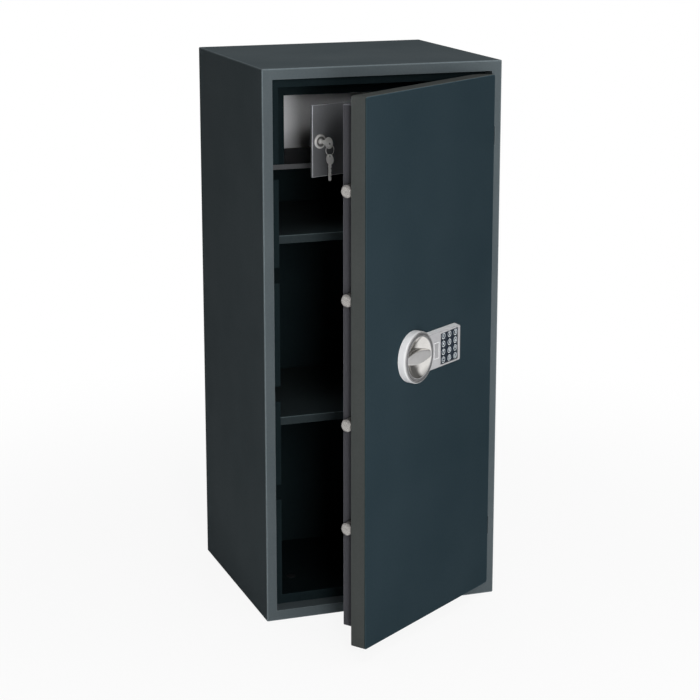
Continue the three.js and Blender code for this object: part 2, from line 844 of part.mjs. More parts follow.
function keypad() {
  const z0 = knobZ - keypadHeight / 2;
  const z1 = knobZ + keypadHeight / 2;
  const body = cut(
    upright(roundedRectangle(knobX, keypadX, z0, z1, keypadCornerRadius), -keypadThickness, -snug),
    rod('y', housingRadius + snug, -keypadThickness - 1, 1, knobX, knobZ, 72),
    upright(
      roundedRectangle(fieldLeft, fieldRight, knobZ - fieldSize / 2, knobZ + fieldSize / 2, 2),
      -keypadThickness - 1,
      -keyFloor,
      4,
    ),
  );
  const plaqueX = (knobX + housingRadius + fieldLeft) / 2 - 1.5;
  const plaque = upright(
    roundedRectangle(
      plaqueX - plaqueWidth / 2, plaqueX + plaqueWidth / 2,
      knobZ - plaqueHeight / 2, knobZ + plaqueHeight / 2, 2,
    ),
    -keypadThickness - plaqueThickness,
    -keypadThickness + 1,
    4,
  );
  add('keypad_body', body.add(plaque), 'satinNickel', 'door');
  const keyHoles = keyGrid().map(([x, z]) =>
    rod('y', keyRadius + snug, keyPanelFront - 1, keyPanelBack + 1, x, z, 24),
  );
  const panel = cut(
    upright(
      roundedRectangle(
        fieldLeft + snug, fieldRight - snug,
        knobZ - fieldSize / 2 + snug, knobZ + fieldSize / 2 - snug, 2,
      ),
      keyPanelFront,
      keyPanelBack,
      4,
    ),
    ...keyHoles,
  );
  add('keypad_panel', panel, 'fieldPlastic', 'door');
}

function keys() {
  const names = ['1', '2', '3', '4', '5', '6', '7', '8', '9', 'clear', '0', 'enter'];
  keyGrid().forEach(([x, z], i) => {
    const flangeFrontFace = keyPanelBack + snug;
    const back = flangeFrontFace + keyFlange;
    const profile = [
      [0, 0], [keyRadius + 0.9, 0], [keyRadius + 0.9, keyFlange], [keyRadius, keyFlange],
      [keyRadius, back - keyPanelFront + keyHead - 0.4],
      [keyRadius - 0.5, back - keyPanelFront + keyHead], [0, back - keyPanelFront + keyHead],
    ];
    const cap = turned(profile.map(([r, d]) => [r, -d]).reverse(), 'y', back, x, z, 24);
    add(`key_${names[i]}`, cap, 'keyPlastic', 'door');
  });
}

// A slotted frame stands on each side wall: two rails, tied together top and bottom.
const rearRail = innerBack - rearRailGap - railWidth;
const railTopLimit = lockerFloorTop - lockerLip - railTopGap;
const slotCount = Math.floor((railTopLimit - railEnd - firstSlot) / slotPitch) + 1;
const slotBottom = (index) => firstSlot + slotPitch * index;
const between = (a, b) => [Math.min(a, b), Math.max(a, b)];

function shelfFrame(name, wall, toward) {
  const face = wall + toward * railDepth;
  const webBack = face - toward * railWeb;
  const top = slotBottom(slotCount - 1) + railEnd;
  const wallSheet = between(wall, wall + toward * railWeb);
  const rails = [frontRail, rearRail].map((y) => {
    const slots = Array.from({ length: slotCount }, (_, i) =>
      block(
        ...between(webBack - toward, face + toward), y + (railWidth - slotWidth) / 2,
        y + (railWidth + slotWidth) / 2, slotBottom(i), slotBottom(i) + slotHeight,
      ),
    );
    const rail = join([
      block(...between(webBack, face), y, y + railWidth, railFoot, top),
      block(...between(wall, face), y, y + railWeb, railFoot, top),
      block(...between(wall, face), y + railWidth - railWeb, y + railWidth, railFoot, top),
    ]);
    return cut(rail, ...slots);
  });
  const ties = [railFoot, top - railWidth].map((z) =>
    block(...wallSheet, frontRail, rearRail + railWidth, z, z + railWidth),
  );
  add(name, join([...rails, ...ties]), 'innerPaint');
}

// A shelf is a sheet with its front and back edges folded down. Four tabs on its sides hook
// into the rails.
function shelf(name, index) {
  const left = bodySheet + railDepth + shelfSideGap;
  const right = innerRight - railDepth - shelfSideGap;
  const z = slotBottom(index);
  const top = z + shelfSheet;
  const back = innerBack - shelfBackGap;
  const hook = shelfSideGap + railWeb + shelfHook;
  const half = slotWidth / 2 - sliding;
  const tabs = [frontRail, rearRail].flatMap((y) => {
    const middle = y + railWidth / 2;
    return [
      block(left - hook, left + hook, middle - half, middle + half, z, top),
      block(right - hook, right + hook, middle - half, middle + half, z, top),
    ];
  });
  const sheet = join([
    block(left, right, shelfFront, back, z, top),
    block(left, right, shelfFront, shelfFront + shelfSheet, top - shelfLip, top),
    block(left, right, back - shelfSheet, back, top - shelfLip, top),
    ...tabs,
  ]);
  add(name, sheet, 'innerPaint');
}

// Inner compartment.
function lockerHousing() {
  const left = bodySheet + snug;
  const right = innerRight - snug;
  const under = lockerFloorTop - shelfSheet;
  add(
    'locker_floor',
    cut(
      block(left, right, lockerFront, innerBack - snug, lockerFloorTop - lockerLip, lockerFloorTop),
      block(
        left + shelfSheet, right - shelfSheet, lockerFront + shelfSheet, innerBack + 1,
        lockerFloorTop - lockerLip - 1, under,
      ),
    ),
    'innerPaint',
  );
  const front = cut(
    block(left, right, lockerFront, lockerFront + shelfSheet, lockerFloorTop, innerTop - snug),
    block(
      lockerOpeningLeft, lockerOpeningRight, lockerFront - 1, lockerFront + shelfSheet + 1,
      lockerFloorTop - 1, lockerHeaderBottom,
    ),
  );
  add('locker_front_panel', front, 'innerPaint');
}

function lockerHinge() {
  const knuckles = 5;
  const length = knuckles * lockerKnuckle;
  const bottom = (lockerDoorBottom + lockerDoorTop - length) / 2;
  const fixed = [];
  const moving = [];
  for (let i = 0; i < knuckles; i += 1) {
    const isFixed = i % 2 === 0;
    const z0 = bottom + i * lockerKnuckle + (isFixed ? 0 : lockerKnuckleGap);
    const z1 = bottom + (i + 1) * lockerKnuckle - (isFixed ? 0 : lockerKnuckleGap);
    const barrel = rod('z', lockerBarrelRadius, z0, z1, lockerPivotX, lockerPivotY, 24);
    if (isFixed) {
      fixed.push(barrel);
      fixed.push(block(lockerPivotX, lockerPivotX + 2.5, lockerPivotY, lockerFront - 1, z0, z1));
    } else {
      moving.push(barrel);
      moving.push(
        block(lockerOpeningRight, lockerPivotX, lockerPivotY - 1.5, lockerPivotY + 1.5, z0, z1),
      );
    }
  }
  const leaf = block(
    lockerPivotX, lockerPivotX + lockerLeafWidth, lockerFront - 1.5, lockerFront, bottom, bottom + length,
  );
  const bore = rod(
    'z', lockerPinRadius + 0.05, bottom - 1, bottom + length + 1, lockerPivotX, lockerPivotY, 16,
  );
  const pin = rod('z', lockerPinRadius, bottom - 0.5, bottom + length + 0.5, lockerPivotX, lockerPivotY, 16);
  add('locker_hinge', join([leaf, ...fixed, pin]), 'steel');
  return cut(join(moving), bore);
}

function lockerDoor(knuckles) {
  const panel = cut(
    block(
      lockerSidePanel, lockerOpeningRight, lockerPanelFront, lockerPanelBack,
      lockerDoorBottom, lockerDoorTop,
    ),
    block(
      lockerSidePanel + lockerDoorSheet, lockerOpeningRight - lockerDoorSheet,
      lockerPanelFront + lockerDoorSheet, lockerPanelBack + 1,
      lockerDoorBottom + lockerDoorSheet, lockerDoorTop - lockerDoorSheet,
    ),
    rod('y', barrelRadius + snug, lockerPanelFront - 1, lockerPanelBack, cylinderX, cylinderZ),
  );
  add('locker_door', panel.add(knuckles), 'innerPaint', 'lockerDoor');
}

function lockerLock() {
  const bodyLength = rosetteThickness + barrelLength;
  add(
    'locker_lock_cylinder',
    turned(
      [[plugRadius + 0.1, 0], [rosetteRadius - 1, 0], [rosetteRadius, 1], [rosetteRadius, rosetteThickness],
        [barrelRadius, rosetteThickness], [barrelRadius, bodyLength], [plugRadius + 0.1, bodyLength]],
      'y', rosetteFront, cylinderX, cylinderZ, 36,
    ),
    'brightNickel',
    'lockerDoor',
  );
  const nutFront = lockerPanelFront + lockerDoorSheet + snug;
  add(
    'locker_lock_nut',
    cut(
      rod('y', lockNutRadius, nutFront, nutFront + lockNutThickness, cylinderX, cylinderZ, 6),
      rod('y', barrelRadius + snug, nutFront - 1, nutFront + lockNutThickness + 1, cylinderX, cylinderZ),
    ),
    'zincSteel',
    'lockerDoor',
  );
  const plugFront = rosetteFront + 0.3;
  const plugBack = rosetteFront + bodyLength + 0.5;
  const keyway = block(
    cylinderX - keySheet / 2 - 0.15, cylinderX + keySheet / 2 + 0.15, plugFront - 1,
    rosetteFront + keyBladeLength + 1,
    cylinderZ - keyBladeWidth / 2 - 0.2, cylinderZ + keyBladeWidth / 2 + 0.2,
  );
  add(
    'locker_lock_plug',
    cut(rod('y', plugRadius, plugFront, plugBack, cylinderX, cylinderZ), keyway),
    'brightNickel',
    'lockerDoor',
  );
  const half = lockCamWidth / 2;
  const bend = cylinderZ + barrelRadius + 1.5;
  const hub = new THREE.Shape();
  hub.absarc(cylinderX, cylinderZ, half, Math.PI, Math.PI * 2, false);
  hub.lineTo(cylinderX + half, bend + lockCamSheet);
  hub.lineTo(cylinderX - half, bend + lockCamSheet);
  const camFace = plugBack + snug;
  const tongueFace = camFace - lockCamCrank;
  const lockCam = join([
    upright(hub, camFace, camFace + lockCamSheet),
    block(
      cylinderX - half, cylinderX + half, tongueFace, camFace + lockCamSheet, bend, bend + lockCamSheet,
    ),
    block(
      cylinderX - half, cylinderX + half, tongueFace, tongueFace + lockCamSheet,
      bend, cylinderZ + lockCamLength,
    ),
  ]);
  add('locker_lock_cam', lockCam, 'zincSteel', 'lockerDoor');
}

// Key in the lock, split ring through its bow, spare key on the ring.
const bowY = rosetteFront - keyBowOut;
const keyHoleY = bowY - keyHoleOffset;
const keyHoleZ = cylinderZ - 1.5;
const ringTop = keyHoleZ - keyHoleRadius + ringWire + 0.15;
const ringZ = ringTop - ringRadius;
const ringBottom = ringZ - ringRadius;
const spareHoleZ = ringBottom - keyHoleRadius + ringWire + 0.15;
const spareBowZ = spareHoleZ - spareHoleOffset;

function lockerKey() {
  const x0 = cylinderX - keySheet / 2;
  const x1 = cylinderX + keySheet / 2;
  const bladeEnd = rosetteFront + keyBladeLength;
  const bow = new THREE.Shape();
  bow.absarc(bowY, cylinderZ, keyBowRadius, 0, Math.PI * 2, false);
  const half = keyBladeWidth / 2;
  const blade = polygon([
    [bowY, cylinderZ - half], [rosetteFront - 2, cylinderZ - half], [bladeEnd - 3, cylinderZ - half],
    [bladeEnd, cylinderZ - half + 2.5], [bladeEnd, cylinderZ + half - 1.5], [bladeEnd - 1.5, cylinderZ + half],
    [bowY, cylinderZ + half],
  ]);
  const shape = cut(
    join([sideways(bow, x0, x1, 18), sideways(blade, x0, x1)]),
    rod('x', keyHoleRadius, x0 - 1, x1 + 1, keyHoleY, keyHoleZ, 24),
  );
  add('locker_key', shape, 'brightNickel', 'lockerDoor');
}

function keyRing() {
  const ring = new THREE.TorusGeometry(ringRadius, ringWire, 8, 40);
  ring.rotateX(Math.PI / 2);
  ring.translate(cylinderX, keyHoleY, ringZ);
  add('key_ring', solid(ring), 'steel', 'lockerDoor');
}

function spareKey() {
  const x0 = cylinderX - keySheet / 2;
  const x1 = cylinderX + keySheet / 2;
  const bow = new THREE.Shape();
  bow.absarc(keyHoleY, spareBowZ, keyBowRadius - 1, 0, Math.PI * 2, false);
  const half = keyBladeWidth / 2;
  const tip = spareBowZ - keyBowRadius - spareBladeLength;
  const blade = polygon([
    [keyHoleY - half, tip + 3], [keyHoleY - half + 2, tip], [keyHoleY + half - 2, tip],
    [keyHoleY + half, tip + 3], [keyHoleY + half, spareBowZ], [keyHoleY - half, spareBowZ],
  ]);
  const shape = cut(
    join([sideways(bow, x0, x1, 18), sideways(blade, x0, x1)]),
    rod('x', keyHoleRadius, x0 - 1, x1 + 1, keyHoleY, spareHoleZ, 24),
  );
  add('spare_key', shape, 'brightNickel', 'lockerDoor');
}

bodyPanels();
lockSideMember();
hingeSideMember();
endMember('frame_member_top', cabinetHeight, frameTop, frameTop - flangeReachEnd);
endMember('frame_member_bottom', 0, frameBottom, frameBottom + flangeReachEnd);
['lower', 'upper'].forEach((end, i) => {
  add(`hinge_bracket_${end}`, hingeBracket(hingeHeights[i]), 'framePaint');
  add(`hinge_arm_${end}`, hingeArm(hingeHeights[i]), 'steel', 'door');
});
doorSlab();
stiffener();
lockCase();
interlockRail();
bolts();
boltBar();
knobHousing();
knobDisc();
spindle();
camDisc();
lockBody();
batteryTray();
keypad();
keys();
shelfFrame('shelf_frame_left', bodySheet, 1);
shelfFrame('shelf_frame_right', innerRight, -1);
shelf('shelf_lower', lowerShelfSlot);
shelf('shelf_upper', slotCount - 1 - upperShelfFromTop);
lockerHousing();
lockerDoor(lockerHinge());
lockerLock();
lockerKey();
keyRing();
spareKey();

export default safe;
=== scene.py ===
from math import atan2, cos, hypot, pi, radians, sin

import bmesh
import bpy
from mathutils import Matrix, Vector


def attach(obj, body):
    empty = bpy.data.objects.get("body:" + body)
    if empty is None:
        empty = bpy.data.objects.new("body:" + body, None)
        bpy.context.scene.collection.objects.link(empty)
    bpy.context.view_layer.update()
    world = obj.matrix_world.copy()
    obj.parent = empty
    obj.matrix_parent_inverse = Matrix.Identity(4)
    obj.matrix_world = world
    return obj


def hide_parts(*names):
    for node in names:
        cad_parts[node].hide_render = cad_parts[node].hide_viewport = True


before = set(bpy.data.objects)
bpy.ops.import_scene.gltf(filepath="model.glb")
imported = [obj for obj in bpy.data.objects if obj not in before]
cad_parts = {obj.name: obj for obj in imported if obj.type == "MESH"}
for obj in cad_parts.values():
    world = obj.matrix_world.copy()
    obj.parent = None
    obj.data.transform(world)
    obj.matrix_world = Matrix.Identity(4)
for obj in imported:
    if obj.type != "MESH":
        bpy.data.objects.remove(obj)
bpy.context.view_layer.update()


# Cabinet. Walls, top, base and back are 2.5 mm steel sheet, welded to a folded front frame
# with an inner web and a stop flange. Seams are ground flush. The powder coat is graphite
# grey outside. Inside, a nearly black paint is painted shade, and a pale one in the top
# compartment is painted light.
cabinet_frame = Matrix.Translation((-0.2225, -0.2, 0.0))
cabinet_size = Vector((0.445, 0.4, 1.0))
wall_sheet = 0.0025
strip_width = 0.019
flange_face = 0.032
lit_zone_floor = 0.8
lit_zone_front = 0.2095
cabinet_bend = 0.0022
strip_edge_radius = 0.0007
sheet_edge_radius = 0.0004
weld_distance = 2e-6
level_angle = radians(0.6)
sharp_angle = radians(38)
touching = 1e-5
cabinet_solids = (
    "side_panel_left", "side_panel_right", "top_panel", "bottom_panel", "back_panel",
    "frame_member_lock_side", "frame_member_hinge_side", "frame_member_top", "frame_member_bottom",
)


class Value:
    """A number on its way through a finish's nodes, so that shading is written as sums."""

    def __init__(self, finish, socket):
        self.finish = finish
        self.socket = socket

    def maths(self, operation, first, second):
        return self.finish.node("ShaderNodeMath", {"operation": operation}, {0: first, 1: second})

    def __add__(self, other):
        return self.maths("ADD", self, other)

    __radd__ = __add__

    def __sub__(self, other):
        return self.maths("SUBTRACT", self, other)

    def __rsub__(self, other):
        return self.maths("SUBTRACT", other, self)

    def __mul__(self, other):
        return self.maths("MULTIPLY", self, other)


class Finish:
    """The material of one surface. Even values go straight to the shader's own sockets."""

    def __init__(self, owner, shader, even):
        owner.use_nodes = True
        self.material = owner
        self.tree = owner.node_tree
        self.shader = self.tree.nodes[shader]
        for socket, value in even.items():
            self.shader.inputs[socket].default_value = value

    @classmethod
    def surface(cls, name, even):
        return cls(bpy.data.materials.new(name), "Principled BSDF", even)

    def node(self, kind, settings, sockets, output=0):
        """Adds a node: its settings first, then the values or links of its sockets."""
        made = self.tree.nodes.new(kind)
        for setting, value in settings.items():
            if setting == "stops":
                stops = made.color_ramp.elements
                while len(stops) < len(value):
                    stops.new(0.5)
                for stop, (place, colour) in zip(stops, value):
                    stop.position = place
                    stop.color = (*colour, 1.0)
            else:
                setattr(made, setting, value)
        for socket, value in sockets.items():
            if isinstance(value, Value):
                self.tree.links.new(value.socket, made.inputs[socket])
            else:
                made.inputs[socket].default_value = value
        return Value(self, made.outputs[output])

    def place(self):
        return self.node("ShaderNodeTexCoord", {}, {}, "Object")

    def stretched(self, place, scale):
        return self.node("ShaderNodeVectorMath", {"operation": "MULTIPLY"}, {0: place, 1: scale})

    def length(self, place):
        return self.node("ShaderNodeVectorMath", {"operation": "LENGTH"}, {0: place}, "Value")

    def noise(self, place, scale, detail=2.0):
        return self.node("ShaderNodeTexNoise", {}, {"Vector": place, "Scale": scale, "Detail": detail})

    def tone(self, dark, light, share, spread=0.2):
        """From the dark to the light tone, round the middle of the share."""
        stops = ((0.5 - spread, dark), (0.5 + spread, light))
        return self.node("ShaderNodeValToRGB", {"stops": stops}, {"Fac": share})

    def mixed(self, share, first, second):
        return self.node("ShaderNodeMix", {"data_type": "RGBA"}, {0: share, 6: first, 7: second}, 2)

    def give(self, socket, value):
        self.tree.links.new(value.socket, self.shader.inputs[socket])

    def relief(self, height, strength, distance):
        sockets = {"Height": height, "Strength": strength, "Distance": distance}
        self.give("Normal", self.node("ShaderNodeBump", {}, sockets))


def powder_coat(name, dark, light, roughness, gloss=0.0, edge=1.6):
    """Baked powder: slow drifts of tone, a fine mottle, an orange-peel skin of 1 mm, and a
    painted highlight: the rounded edges blend towards a lighter tone that stands in for the
    light they catch. Edge is how many times the light tone the highlight is."""
    paint = Finish.surface(name, {"Specular IOR Level": gloss})
    place = paint.place()
    drift = paint.noise(place, 5.0, 3.0)
    mottle = paint.noise(place, 230.0)
    peel = paint.noise(place, 850.0, 1.0)
    worn = paint.node("ShaderNodeAttribute", {"attribute_name": "worn"}, {}, "Fac")
    coat = paint.tone(dark, light, drift * 0.55 + mottle * 0.25 + peel * 0.2, 0.18)
    edge_light_colour = (*(channel * edge for channel in light), 1.0)
    paint.give("Base Color", paint.mixed(worn * (0.45 + mottle * 0.6), coat, edge_light_colour))
    paint.give("Roughness", roughness - 0.06 + mottle * 0.12)
    paint.relief(peel * 0.7 + mottle * 0.3, 0.12, 0.0005)
    return paint


def added(name, data):
    """A new object with this data, linked to the scene."""
    thing = bpy.data.objects.new(name, data)
    bpy.context.scene.collection.objects.link(thing)
    return thing


def taken_from(things):
    """The finished mesh of the first thing, after which all the things are removed."""
    bpy.context.view_layer.update()
    done = things[0].evaluated_get(bpy.context.evaluated_depsgraph_get())
    bm = bmesh.new()
    bm.from_mesh(done.to_mesh())
    for thing in things:
        bpy.data.objects.remove(thing)
    return bm


def combined(bodies, operation):
    """Joins or cuts closed bodies. Coplanar faces come out as one face each."""
    things = []
    for body in bodies:
        mesh = bpy.data.meshes.new("blank")
        body.to_mesh(mesh)
        body.free()
        things.append(added("blank", mesh))
    for other in things[1:]:
        step = things[0].modifiers.new("step", "BOOLEAN")
        step.operation = operation
        step.solver = "EXACT"
        step.object = other
    bm = taken_from(things)
    bmesh.ops.remove_doubles(bm, verts=bm.verts, dist=weld_distance)
    bmesh.ops.dissolve_limit(bm, angle_limit=level_angle, verts=bm.verts, edges=bm.edges)
    return bm


def solid(node, placed):
    """A copy of one solid of the frame, welded, in the coordinates of its own frame."""
    bm = bmesh.new()
    bm.from_mesh(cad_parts[node].data)
    bmesh.ops.remove_doubles(bm, verts=bm.verts, dist=weld_distance)
    bm.transform(placed.inverted())
    bmesh.ops.dissolve_limit(bm, angle_limit=level_angle, verts=bm.verts, edges=bm.edges)
    return bm


def rounded(bm, width, segments=2, chosen=None, slide=True):
    """Rounds the sharp edges that the rule chooses, and marks them for the painted edge highlight."""
    worn = bm.loops.layers.float.get("worn") or bm.loops.layers.float.new("worn")
    edges = [
        edge for edge in bm.edges
        if len(edge.link_faces) == 2
        and edge.calc_face_angle() > sharp_angle
        and (chosen is None or chosen(edge.verts[0].co, edge.verts[1].co))
    ]
    made = bmesh.ops.bevel(
        bm, geom=edges, offset=width, offset_type="OFFSET", segments=segments, profile=0.5,
        affect="EDGES", clamp_overlap=False, loop_slide=slide,
    )
    for face in made["faces"]:
        for loop in face.loops:
            loop[worn] = 1.0
    return bm


def piece(name, bm, placed, finishes, body, replaced=()):
    """Makes the object, gives it its finishes, and hands it to the body that it moves with."""
    for face in bm.faces:
        face.smooth = True
    for edge in bm.edges:
        edge.smooth = len(edge.link_faces) == 2 and edge.calc_face_angle(0.0) < sharp_angle
    mesh = bpy.data.meshes.new(name)
    bm.to_mesh(mesh)
    bm.free()
    thing = added(name, mesh)
    thing.matrix_world = placed
    for finish in finishes:
        mesh.materials.append(finish.material)
    shading = thing.modifiers.new("even_shading", "WEIGHTED_NORMAL")
    shading.keep_sharp = True
    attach(thing, body)
    if replaced:
        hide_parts(*replaced)


def in_plane(a, b, axis, place):
    """True for an edge that lies in the plane at this place on the axis."""
    return abs(a[axis] - place) < touching and abs(b[axis] - place) < touching


def planes_shared(a, b, planes):
    """How many planes an edge lies in. Each is an axis and a place on it."""
    return sum(in_plane(a, b, axis, place) for axis, place in planes)


outer_planes = [(axis, side) for axis in range(3) for side in (0.0, cabinet_size[axis])]
opening_planes = [(1, flange_face)]
for axis in (0, 2):
    opening_planes += [(axis, strip_width), (axis, cabinet_size[axis] - strip_width)]


def is_on_front(a, b):
    return in_plane(a, b, 1, 0.0)


def is_open_sheet_edge(a, b):
    """False on the welded corners of the door's opening and on the hidden back of the strip."""
    return planes_shared(a, b, opening_planes) < 2 and not in_plane(a, b, 1, wall_sheet)


cabinet_paint = powder_coat("cabinet_paint", (0.061, 0.076, 0.083), (0.082, 0.098, 0.105), 0.55)
# Nearly black paint as painted shade: it stands for the dark inside of the cabinet, its rebate, the
# shelf rails and the compartment's front panel.
shade_black_paint = powder_coat("shade_black_paint", (0.0065, 0.011, 0.013), (0.01, 0.017, 0.019), 0.6)
# Pale paint as painted light, for the inside of the top compartment.
compartment_light_paint = powder_coat("compartment_light_paint", (0.8, 0.805, 0.82), (0.88, 0.885, 0.9), 0.55)
shell = combined([solid(node, cabinet_frame) for node in cabinet_solids], "UNION")
rounded(shell, cabinet_bend, 4, lambda a, b: planes_shared(a, b, outer_planes) >= 2)
rounded(shell, strip_edge_radius, 2, is_on_front)
rounded(shell, sheet_edge_radius, 1, is_open_sheet_edge)


def lies_within(face, low, high):
    """True for a face that lies inside the box between two corners."""
    return all(low[axis] < vert.co[axis] < high[axis] for vert in face.verts for axis in range(3))


skin = 0.001
inside_low = (skin, 0.0012, skin)
inside_high = cabinet_size - Vector((skin, skin, skin))
lit_zone_low = (skin, lit_zone_front - 0.0001, lit_zone_floor - 0.0001)
# The shell is cut at the compartment's floor and front, so that the faces inside it take the pale
# painted light and the other inside faces the nearly black painted shade.
for along, distance in (((0.0, 0.0, 1.0), lit_zone_floor), ((0.0, 1.0, 0.0), lit_zone_front)):
    everything = shell.verts[:] + shell.edges[:] + shell.faces[:]
    bmesh.ops.bisect_plane(shell, geom=everything, plane_co=Vector(along) * distance, plane_no=along)
for face in shell.faces:
    if lies_within(face, lit_zone_low, inside_high):
        face.material_index = 2
    elif lies_within(face, inside_low, inside_high):
        face.material_index = 1
piece(
    "cabinet_shell", shell, cabinet_frame, [cabinet_paint, shade_black_paint, compartment_light_paint], "cabinet",
    cabinet_solids,
)


# Anchor-hole plugs. Black moulded caps that close the four holes for floor and wall bolts:
# a round flange inside the cabinet and a stub that fills the hole flush with the outside.
plug_flange_radius = 0.0085
plug_stub_radius = 0.0058
plug_stub = 0.0023
plug_flange = 0.0013
plug_set_in = 0.0003
anchor_x = (0.11, 0.335)
anchor_y = 0.2
anchor_z = 0.25


def ring_of(bm, radius, height, turns):
    """The corners of a ring about the y axis, at a height towards the front."""
    return [bm.verts.new((radius * cos(turn), -height, radius * sin(turn))) for turn in turns]


def add_face(bm, corners):
    """Adds a face, but not where its corners fall together."""
    corners = list(dict.fromkeys(corners))
    if len(corners) > 2:
        bm.faces.new(corners)


def turned(profile, sides):
    """A round piece about the y axis: radius and distance towards the front, back to front."""
    bm = bmesh.new()
    turns = [2 * pi * i / sides for i in range(sides)]
    rings = []
    for radius, height in profile:
        if radius == 0.0:
            rings.append([bm.verts.new((0.0, -height, 0.0))])
        else:
            rings.append(ring_of(bm, radius, height, turns))
    pairs = list(zip(rings, rings[1:]))
    if len(rings[0]) > 1:
        pairs.append((rings[-1], rings[0]))
    for lower, upper in pairs:
        for i in range(sides):
            j = (i + 1) % sides
            inner = (lower[i % len(lower)], lower[j % len(lower)])
            outer = (upper[j % len(upper)], upper[i % len(upper)])
            add_face(bm, inner + outer)
    bmesh.ops.recalc_face_normals(bm, faces=bm.faces)
    return bm


def eased(corners, steps=4):
    """Rounds the corners of a profile: each is radius, height and how far its curve reaches."""
    points = []
    for i, (radius, height, reach) in enumerate(corners):
        here = Vector((radius, height))
        if reach == 0.0:
            points.append(tuple(here))
            continue
        back = (Vector(corners[i - 1][:2]) - here).normalized() * reach
        ahead = (Vector(corners[(i + 1) % len(corners)][:2]) - here).normalized() * reach
        for step in range(steps + 1):
            t = step / steps
            points.append(tuple(here + back * (1 - t) ** 2 + ahead * t ** 2))
    return points


def moulded_plastic(name, dark, light, roughness):
    """Moulded plastic with a fine spark-eroded grain."""
    plastic = Finish.surface(name, {"Specular IOR Level": 0.15})
    place = plastic.place()
    clouds = plastic.noise(place, 40.0)
    grain = plastic.noise(place, 1800.0, 1.0)
    plastic.give("Base Color", plastic.tone(dark, light, clouds * 0.7 + grain * 0.3))
    plastic.give("Roughness", roughness - 0.08 + grain * 0.16)
    plastic.relief(grain, 0.12, 0.0002)
    return plastic


black_plastic = moulded_plastic("black_plastic", (0.01, 0.011, 0.012), (0.02, 0.021, 0.023), 0.48)
plug_profile = eased((
    (0.0, 0.0, 0.0), (plug_stub_radius, 0.0, 0.0003), (plug_stub_radius, plug_stub, 0.0),
    (plug_flange_radius, plug_stub, 0.0), (plug_flange_radius, plug_stub + plug_flange, 0.0008),
    (0.0, plug_stub + plug_flange, 0.0),
))
upright = Matrix.Rotation(-pi / 2, 4, "X")
for side, x in zip(("left", "right"), anchor_x):
    base_place = Matrix.Translation((x, anchor_y, plug_set_in)) @ upright
    back_place = Matrix.Translation((x, cabinet_size.y - plug_set_in, anchor_z))
    for wall, place in (("base", base_place), ("back", back_place)):
        piece(
            f"{wall}_plug_{side}", turned(plug_profile, 40), cabinet_frame @ place, [black_plastic],
            "cabinet",
        )


# Main hinges. Steel arms on the slab's edge curl round the frame's web to pins held by
# folded brackets inside the frame member. The arms are bright zinc plate over cold-drawn
# steel, and the brackets have the cabinet's paint.
hinge_edge_radius = 0.0005


def plain_piece(name, node, placed, edge, finish, body):
    """A piece that is its solid with rounded edges. Edge is a width and a number of steps."""
    piece(name, rounded(solid(node, placed), *edge), placed, [finish], body, [node])


def machined_steel(name, dark, light, roughness, scale=(60.0, 60.0, 900.0), metallic=1.0):
    """Plated or bare steel with the fine lines of drawing or rolling along one direction."""
    metal = Finish.surface(name, {"Metallic": metallic})
    place = metal.place()
    lines = metal.noise(metal.stretched(place, scale), 1.0, 4.0)
    stain = metal.noise(place, 35.0, 3.0)
    metal.give("Base Color", metal.tone(dark, light, lines * 0.5 + stain * 0.5))
    metal.give("Roughness", roughness - 0.08 + lines * 0.1 + stain * 0.08)
    metal.relief(lines, 0.08, 0.0002)
    return metal


def swung(parent, pivot, angle):
    """The frame of a door that has turned about its upright hinge axis in its parent's frame."""
    turn = Matrix.Rotation(angle, 4, "Z")
    return parent @ Matrix.Translation(pivot) @ turn @ Matrix.Translation(-pivot)


door_pivot = Vector((0.436, 0.009, 0.0))
door_ajar = radians(35)
door_frame = swung(cabinet_frame, door_pivot, door_ajar)
drawn_steel = machined_steel("drawn_steel", (0.3, 0.31, 0.32), (0.46, 0.47, 0.48), 0.36)
for level in ("lower", "upper"):
    plain_piece(
        f"hinge_bracket_{level}_dressed", f"hinge_bracket_{level}", cabinet_frame,
        (hinge_edge_radius, 2), cabinet_paint, "cabinet",
    )
    plain_piece(
        f"hinge_arm_{level}_dressed", f"hinge_arm_{level}", door_frame,
        (hinge_edge_radius, 2), drawn_steel, "door",
    )


# Shelf frames and shelves. Slotted rails of 2 mm steel are screwed to both side walls, and
# two shelves of 1.5 mm sheet with folded front and back lips hook into them. The shelves
# are powder coated dark grey with a painted highlight on their edges, and the rails get the
# nearly black paint of painted shade.
shelf_bend = 0.0011
shelf_edge_radius = 0.00035
long_bend = 0.3
shelf_paint = powder_coat("shelf_paint", (0.022, 0.03, 0.033), (0.031, 0.041, 0.044), 0.55, 0.0, 3.0)
for side in ("left", "right"):
    plain_piece(
        f"shelf_rails_{side}", f"shelf_frame_{side}", cabinet_frame, (shelf_edge_radius, 1),
        shade_black_paint, "cabinet",
    )
for level in ("lower", "upper"):
    sheet = solid(f"shelf_{level}", cabinet_frame)
    top = max(vert.co.z for vert in sheet.verts)
    rounded(sheet, shelf_bend, 3, lambda a, b: in_plane(a, b, 2, top) and abs(a.x - b.x) > long_bend)
    rounded(sheet, shelf_edge_radius, 1)
    piece(
        f"shelf_{level}_folded", sheet, cabinet_frame, [shelf_paint], "cabinet",
        [f"shelf_{level}"],
    )


